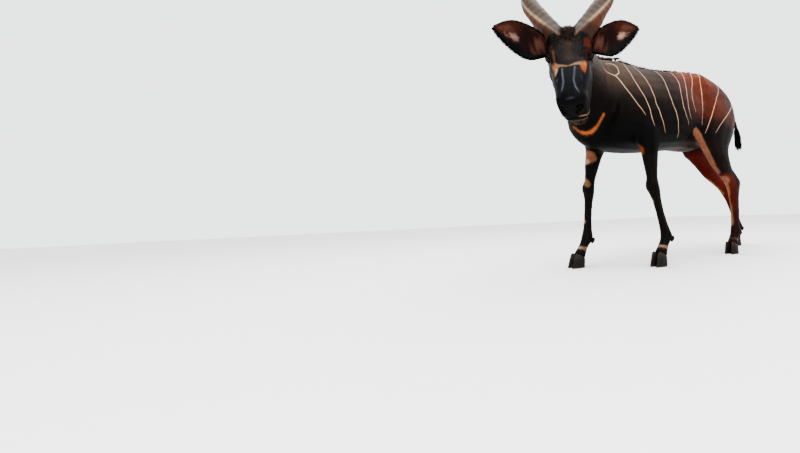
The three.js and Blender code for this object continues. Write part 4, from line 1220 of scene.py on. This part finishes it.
def makeHorn(side):
    curve = hornCurve(side)
    places = []

    def hornPoint(t, angle):
        centre, ahead = curve(t), tangentOf(curve, t)
        front = (Vector((0, 0, 1)) - ahead * ahead.z).normalized()
        inward = front.cross(ahead) * sideSign[side]
        girth = (hornShape["girth"] / 2 * (1 - t) ** 0.9 + 0.002 * t) * (1e-4 < t < 1 - 1e-4)
        keel = 1 + 0.26 * max(0, math.cos(angle)) ** 8 - 0.05 * math.cos(2 * angle)
        ridges = (0.012 * math.sin(170 * t + 2.2 * math.sin(angle + 9 * t))
                  + 0.01 * math.sin(61 * t + angle) + 0.008 * math.cos(9 * angle + 12 * t))
        rough = 1 - float(ramp(t, 0.62, 0.08)) * ridges
        twist = angle + math.radians(hornShape["keelStart"] + hornShape["twist"] * t)
        places.append((t, angle))
        out = front * math.cos(twist) - inward * math.sin(twist)
        return headMatrix @ (centre + out * girth * keel * rough)

    mesh = meshFrom(welded(ringed(hornShape["around"], hornShape["along"], hornPoint)), "horn")
    t, angle = np.array(places)[:len(mesh.vertices)].T
    angle += math.radians(hornShape["lag"]) * t
    setColours(mesh, "horn", painted(
        plain("hornInner", t),
        ("hornOuter", ramp(np.sin(angle), -0.1, 0.25) * ramp(t, 0.5, 0.15)),
        ("keel", np.maximum(0, np.cos(angle)) ** 160 * 0.7),
        ("hornTip", ramp(t, 0.9, 0.96)),
        ("hornRoot", 0.6 * ramp(t, 0.13, 0.08))))
    return addObject("horn" + side.capitalize(), mesh)


# Horn of the living animal: dry ribbed keratin, grey inside the turn, fox-brown outside, worn pale on its keel
def makeHornMaterial():
    material, tree = newMaterial("weathered keratin horn")
    colour = addNode(tree, "Attribute", {"attribute_name": "horn"})
    place = addNode(tree, "TexCoord").outputs["Object"]
    grain = addNode(tree, "TexNoise", {"Scale": 55.0, "Detail": 7.0, "Roughness": 0.7}, {"Vector": place})
    fine = addNode(tree, "TexNoise", {"Scale": 420.0, "Detail": 3.0}, {"Vector": place})
    shown = multiplied(tree, colour, 0.25, 1.6, grain)
    bump = addNode(tree, "Bump", {"Strength": 0.5, "Distance": 0.0016}, {"Height": grain})
    bump = addNode(tree, "Bump", {"Strength": 0.35, "Distance": 0.0006}, {"Height": fine, "Normal": bump})
    gloss = addNode(tree, "MapRange", {"To Min": 0.36, "To Max": 0.66}, {"Value": grain})
    closeMaterial(tree, addNode(tree, "BsdfPrincipled", {"IOR": 1.54, "Specular IOR Level": 0.22},
                                {"Base Color": shown, "Roughness": gloss, "Normal": bump}))
    return material


addTints(hornColours)
hornMaterial = makeHornMaterial()
for side in sideSign:
    finished(makeHorn(side), hornMaterial, ["horn_" + side])
print("horns made")

# Hooves: pairs of dark toes with rings of growth, flat on the floor, and a dewclaw behind each
hoofShape = {"around": 40, "rows": 30, "rim": 0.0012, "ring": 0.004, "rings": 8, "crown": 0.2}
dewclawShape = {"off": (0.016, 0.032, -0.016), "lean": -30, "half": (0.0105, 0.0095, 0.018), "narrow": 0.45}
hoofColours = {"hoofWall": "#1f1a17", "hoofBand": "#3a3029", "hoofEdge": "#5a4c3f"}


def makeHoof(leg, claw):
    fetlock = Vector(legJoints[leg][2]) + bodyOrigin
    side = (1 if fetlock.x > 0 else -1) * (1 if claw == "outer" else -1)
    middle = fetlock.y - footShape["pastern"]
    shape = bmesh.new()
    bmesh.ops.create_cone(shape, segments=hoofShape["around"], radius1=1, radius2=1, depth=1, cap_ends=True)
    upright = [edge for edge in shape.edges if abs(edge.verts[0].co.z - edge.verts[1].co.z) > 0.5]
    bmesh.ops.subdivide_edges(shape, edges=upright, cuts=hoofShape["rows"])
    for vert in shape.verts:
        across, along, height = vert.co.x, vert.co.y, vert.co.z + 0.5
        toe, inner = max(0, -along), max(0, -across * side)
        breadth = (0.0175 - 0.002 * height) * (1 - 0.45 * toe ** 2) * (1 - 0.1 * inner)
        reach = (0.052 - 0.02 * height) if along < 0 else (0.03 - 0.002 * height)
        wave = math.sin(hoofShape["rings"] * 2 * math.pi * height) * (0.1 < height < 0.85)
        swell = 1 + hoofShape["ring"] * wave - hoofShape["crown"] * float(ramp(height, 0.8, 1.0)) ** 2
        x = fetlock.x + side * (0.0188 + 0.003 * toe) + across * breadth * swell
        y = middle - 0.005 * (1 - height) + along * reach * swell
        vert.co = (x, y, height * (footShape["coronet"] + 0.0095 - footShape["slope"] * (y - middle)))
    rims = [edge for edge in shape.edges if edge.calc_face_angle(0) > 0.9]
    bmesh.ops.bevel(shape, geom=rims, affect="EDGES", offset=hoofShape["rim"], segments=3, profile=0.5,
                    material=-1)
    mesh = meshFrom(welded(shape), "hoof")
    height = pointsOf(mesh)[:, 2] / footShape["coronet"]
    setColours(mesh, "horn", painted(plain("hoofWall", height), ("hoofBand", 0.6 * ramp(height, 0.7, 1.0)),
                                     ("hoofEdge", 0.7 * ramp(height, 0.14, 0.03))))
    return addObject(f"toe_{leg}_{claw}", mesh)


def makeDewclaw(leg, claw):
    fetlock = Vector(legJoints[leg][2]) + bodyOrigin
    side = (1 if "left" in leg else -1) * (1 if claw == "outer" else -1)
    x, y, z = dewclawShape["off"]
    place = turned(Matrix.Translation(fetlock + Vector((side * x, y, z))), [dewclawShape["lean"]], "X")
    shape = bmesh.new()
    bmesh.ops.create_uvsphere(shape, u_segments=24, v_segments=16, radius=1)
    wide, deep, tall = dewclawShape["half"]
    for vert in shape.verts:
        narrow = 1 - dewclawShape["narrow"] * max(0, -vert.co.z)
        vert.co = place @ Vector((vert.co.x * wide * narrow, vert.co.y * deep * narrow, vert.co.z * tall))
    mesh = meshFrom(welded(shape), "dewclaw")
    setColours(mesh, "horn", plain("hoofWall", mesh.vertices))
    return addObject(f"spur_{leg}_{claw}", mesh)


addTints(hoofColours)
for leg in legJoints:
    for claw in ("outer", "inner"):
        finished(makeHoof(leg, claw), hornMaterial, [f"hoof_{leg}_{claw}"])
        finished(makeDewclaw(leg, claw), hornMaterial, [f"dewclaw_{leg}_{claw}"])
print("hooves made")

# Studio: a pale floor, an even pale sky and two soft boxes
stageSettings = {"floor": 14, "floorColour": "#e9e8e6", "world": "#f4f6f8", "worldPower": 1.5,
                 "aim": (0, 0, 0.8)}
lights = {
    "sky": {"place": (0.4, -0.6, 4.2), "power": 160, "size": 4.5},
    "front": {"place": (3.4, -2.6, 2.4), "power": 60, "size": 1.6},
}


def makeStage():
    shape = bmesh.new()
    bmesh.ops.create_grid(shape, x_segments=1, y_segments=1, size=stageSettings["floor"])
    floor = addObject("floor", meshFrom(shape, "floor"))
    material, tree = newMaterial("matt pale studio floor")
    colour = (*linear(stageSettings["floorColour"]), 1)
    closeMaterial(tree, addNode(tree, "BsdfPrincipled", {"Base Color": colour, "Roughness": 0.9}))
    floor.data.materials.append(material)
    scene.view_settings.look = "AgX - High Contrast"
    scene.world = bpy.data.worlds.new("studio")
    scene.world.use_nodes = True
    background = scene.world.node_tree.nodes["Background"]
    background.inputs["Color"].default_value = (*linear(stageSettings["world"]), 1)
    background.inputs["Strength"].default_value = stageSettings["worldPower"]
    for name, light in lights.items():
        data = bpy.data.lights.new(name, "AREA")
        data.energy, data.size = light["power"], light["size"]
        lamp = addObject(name, data)
        lamp.location = light["place"]
        aim = Vector(stageSettings["aim"]) - lamp.location
        lamp.rotation_euler = aim.to_track_quat("-Z", "Y").to_euler()


makeStage()
print("stage set")
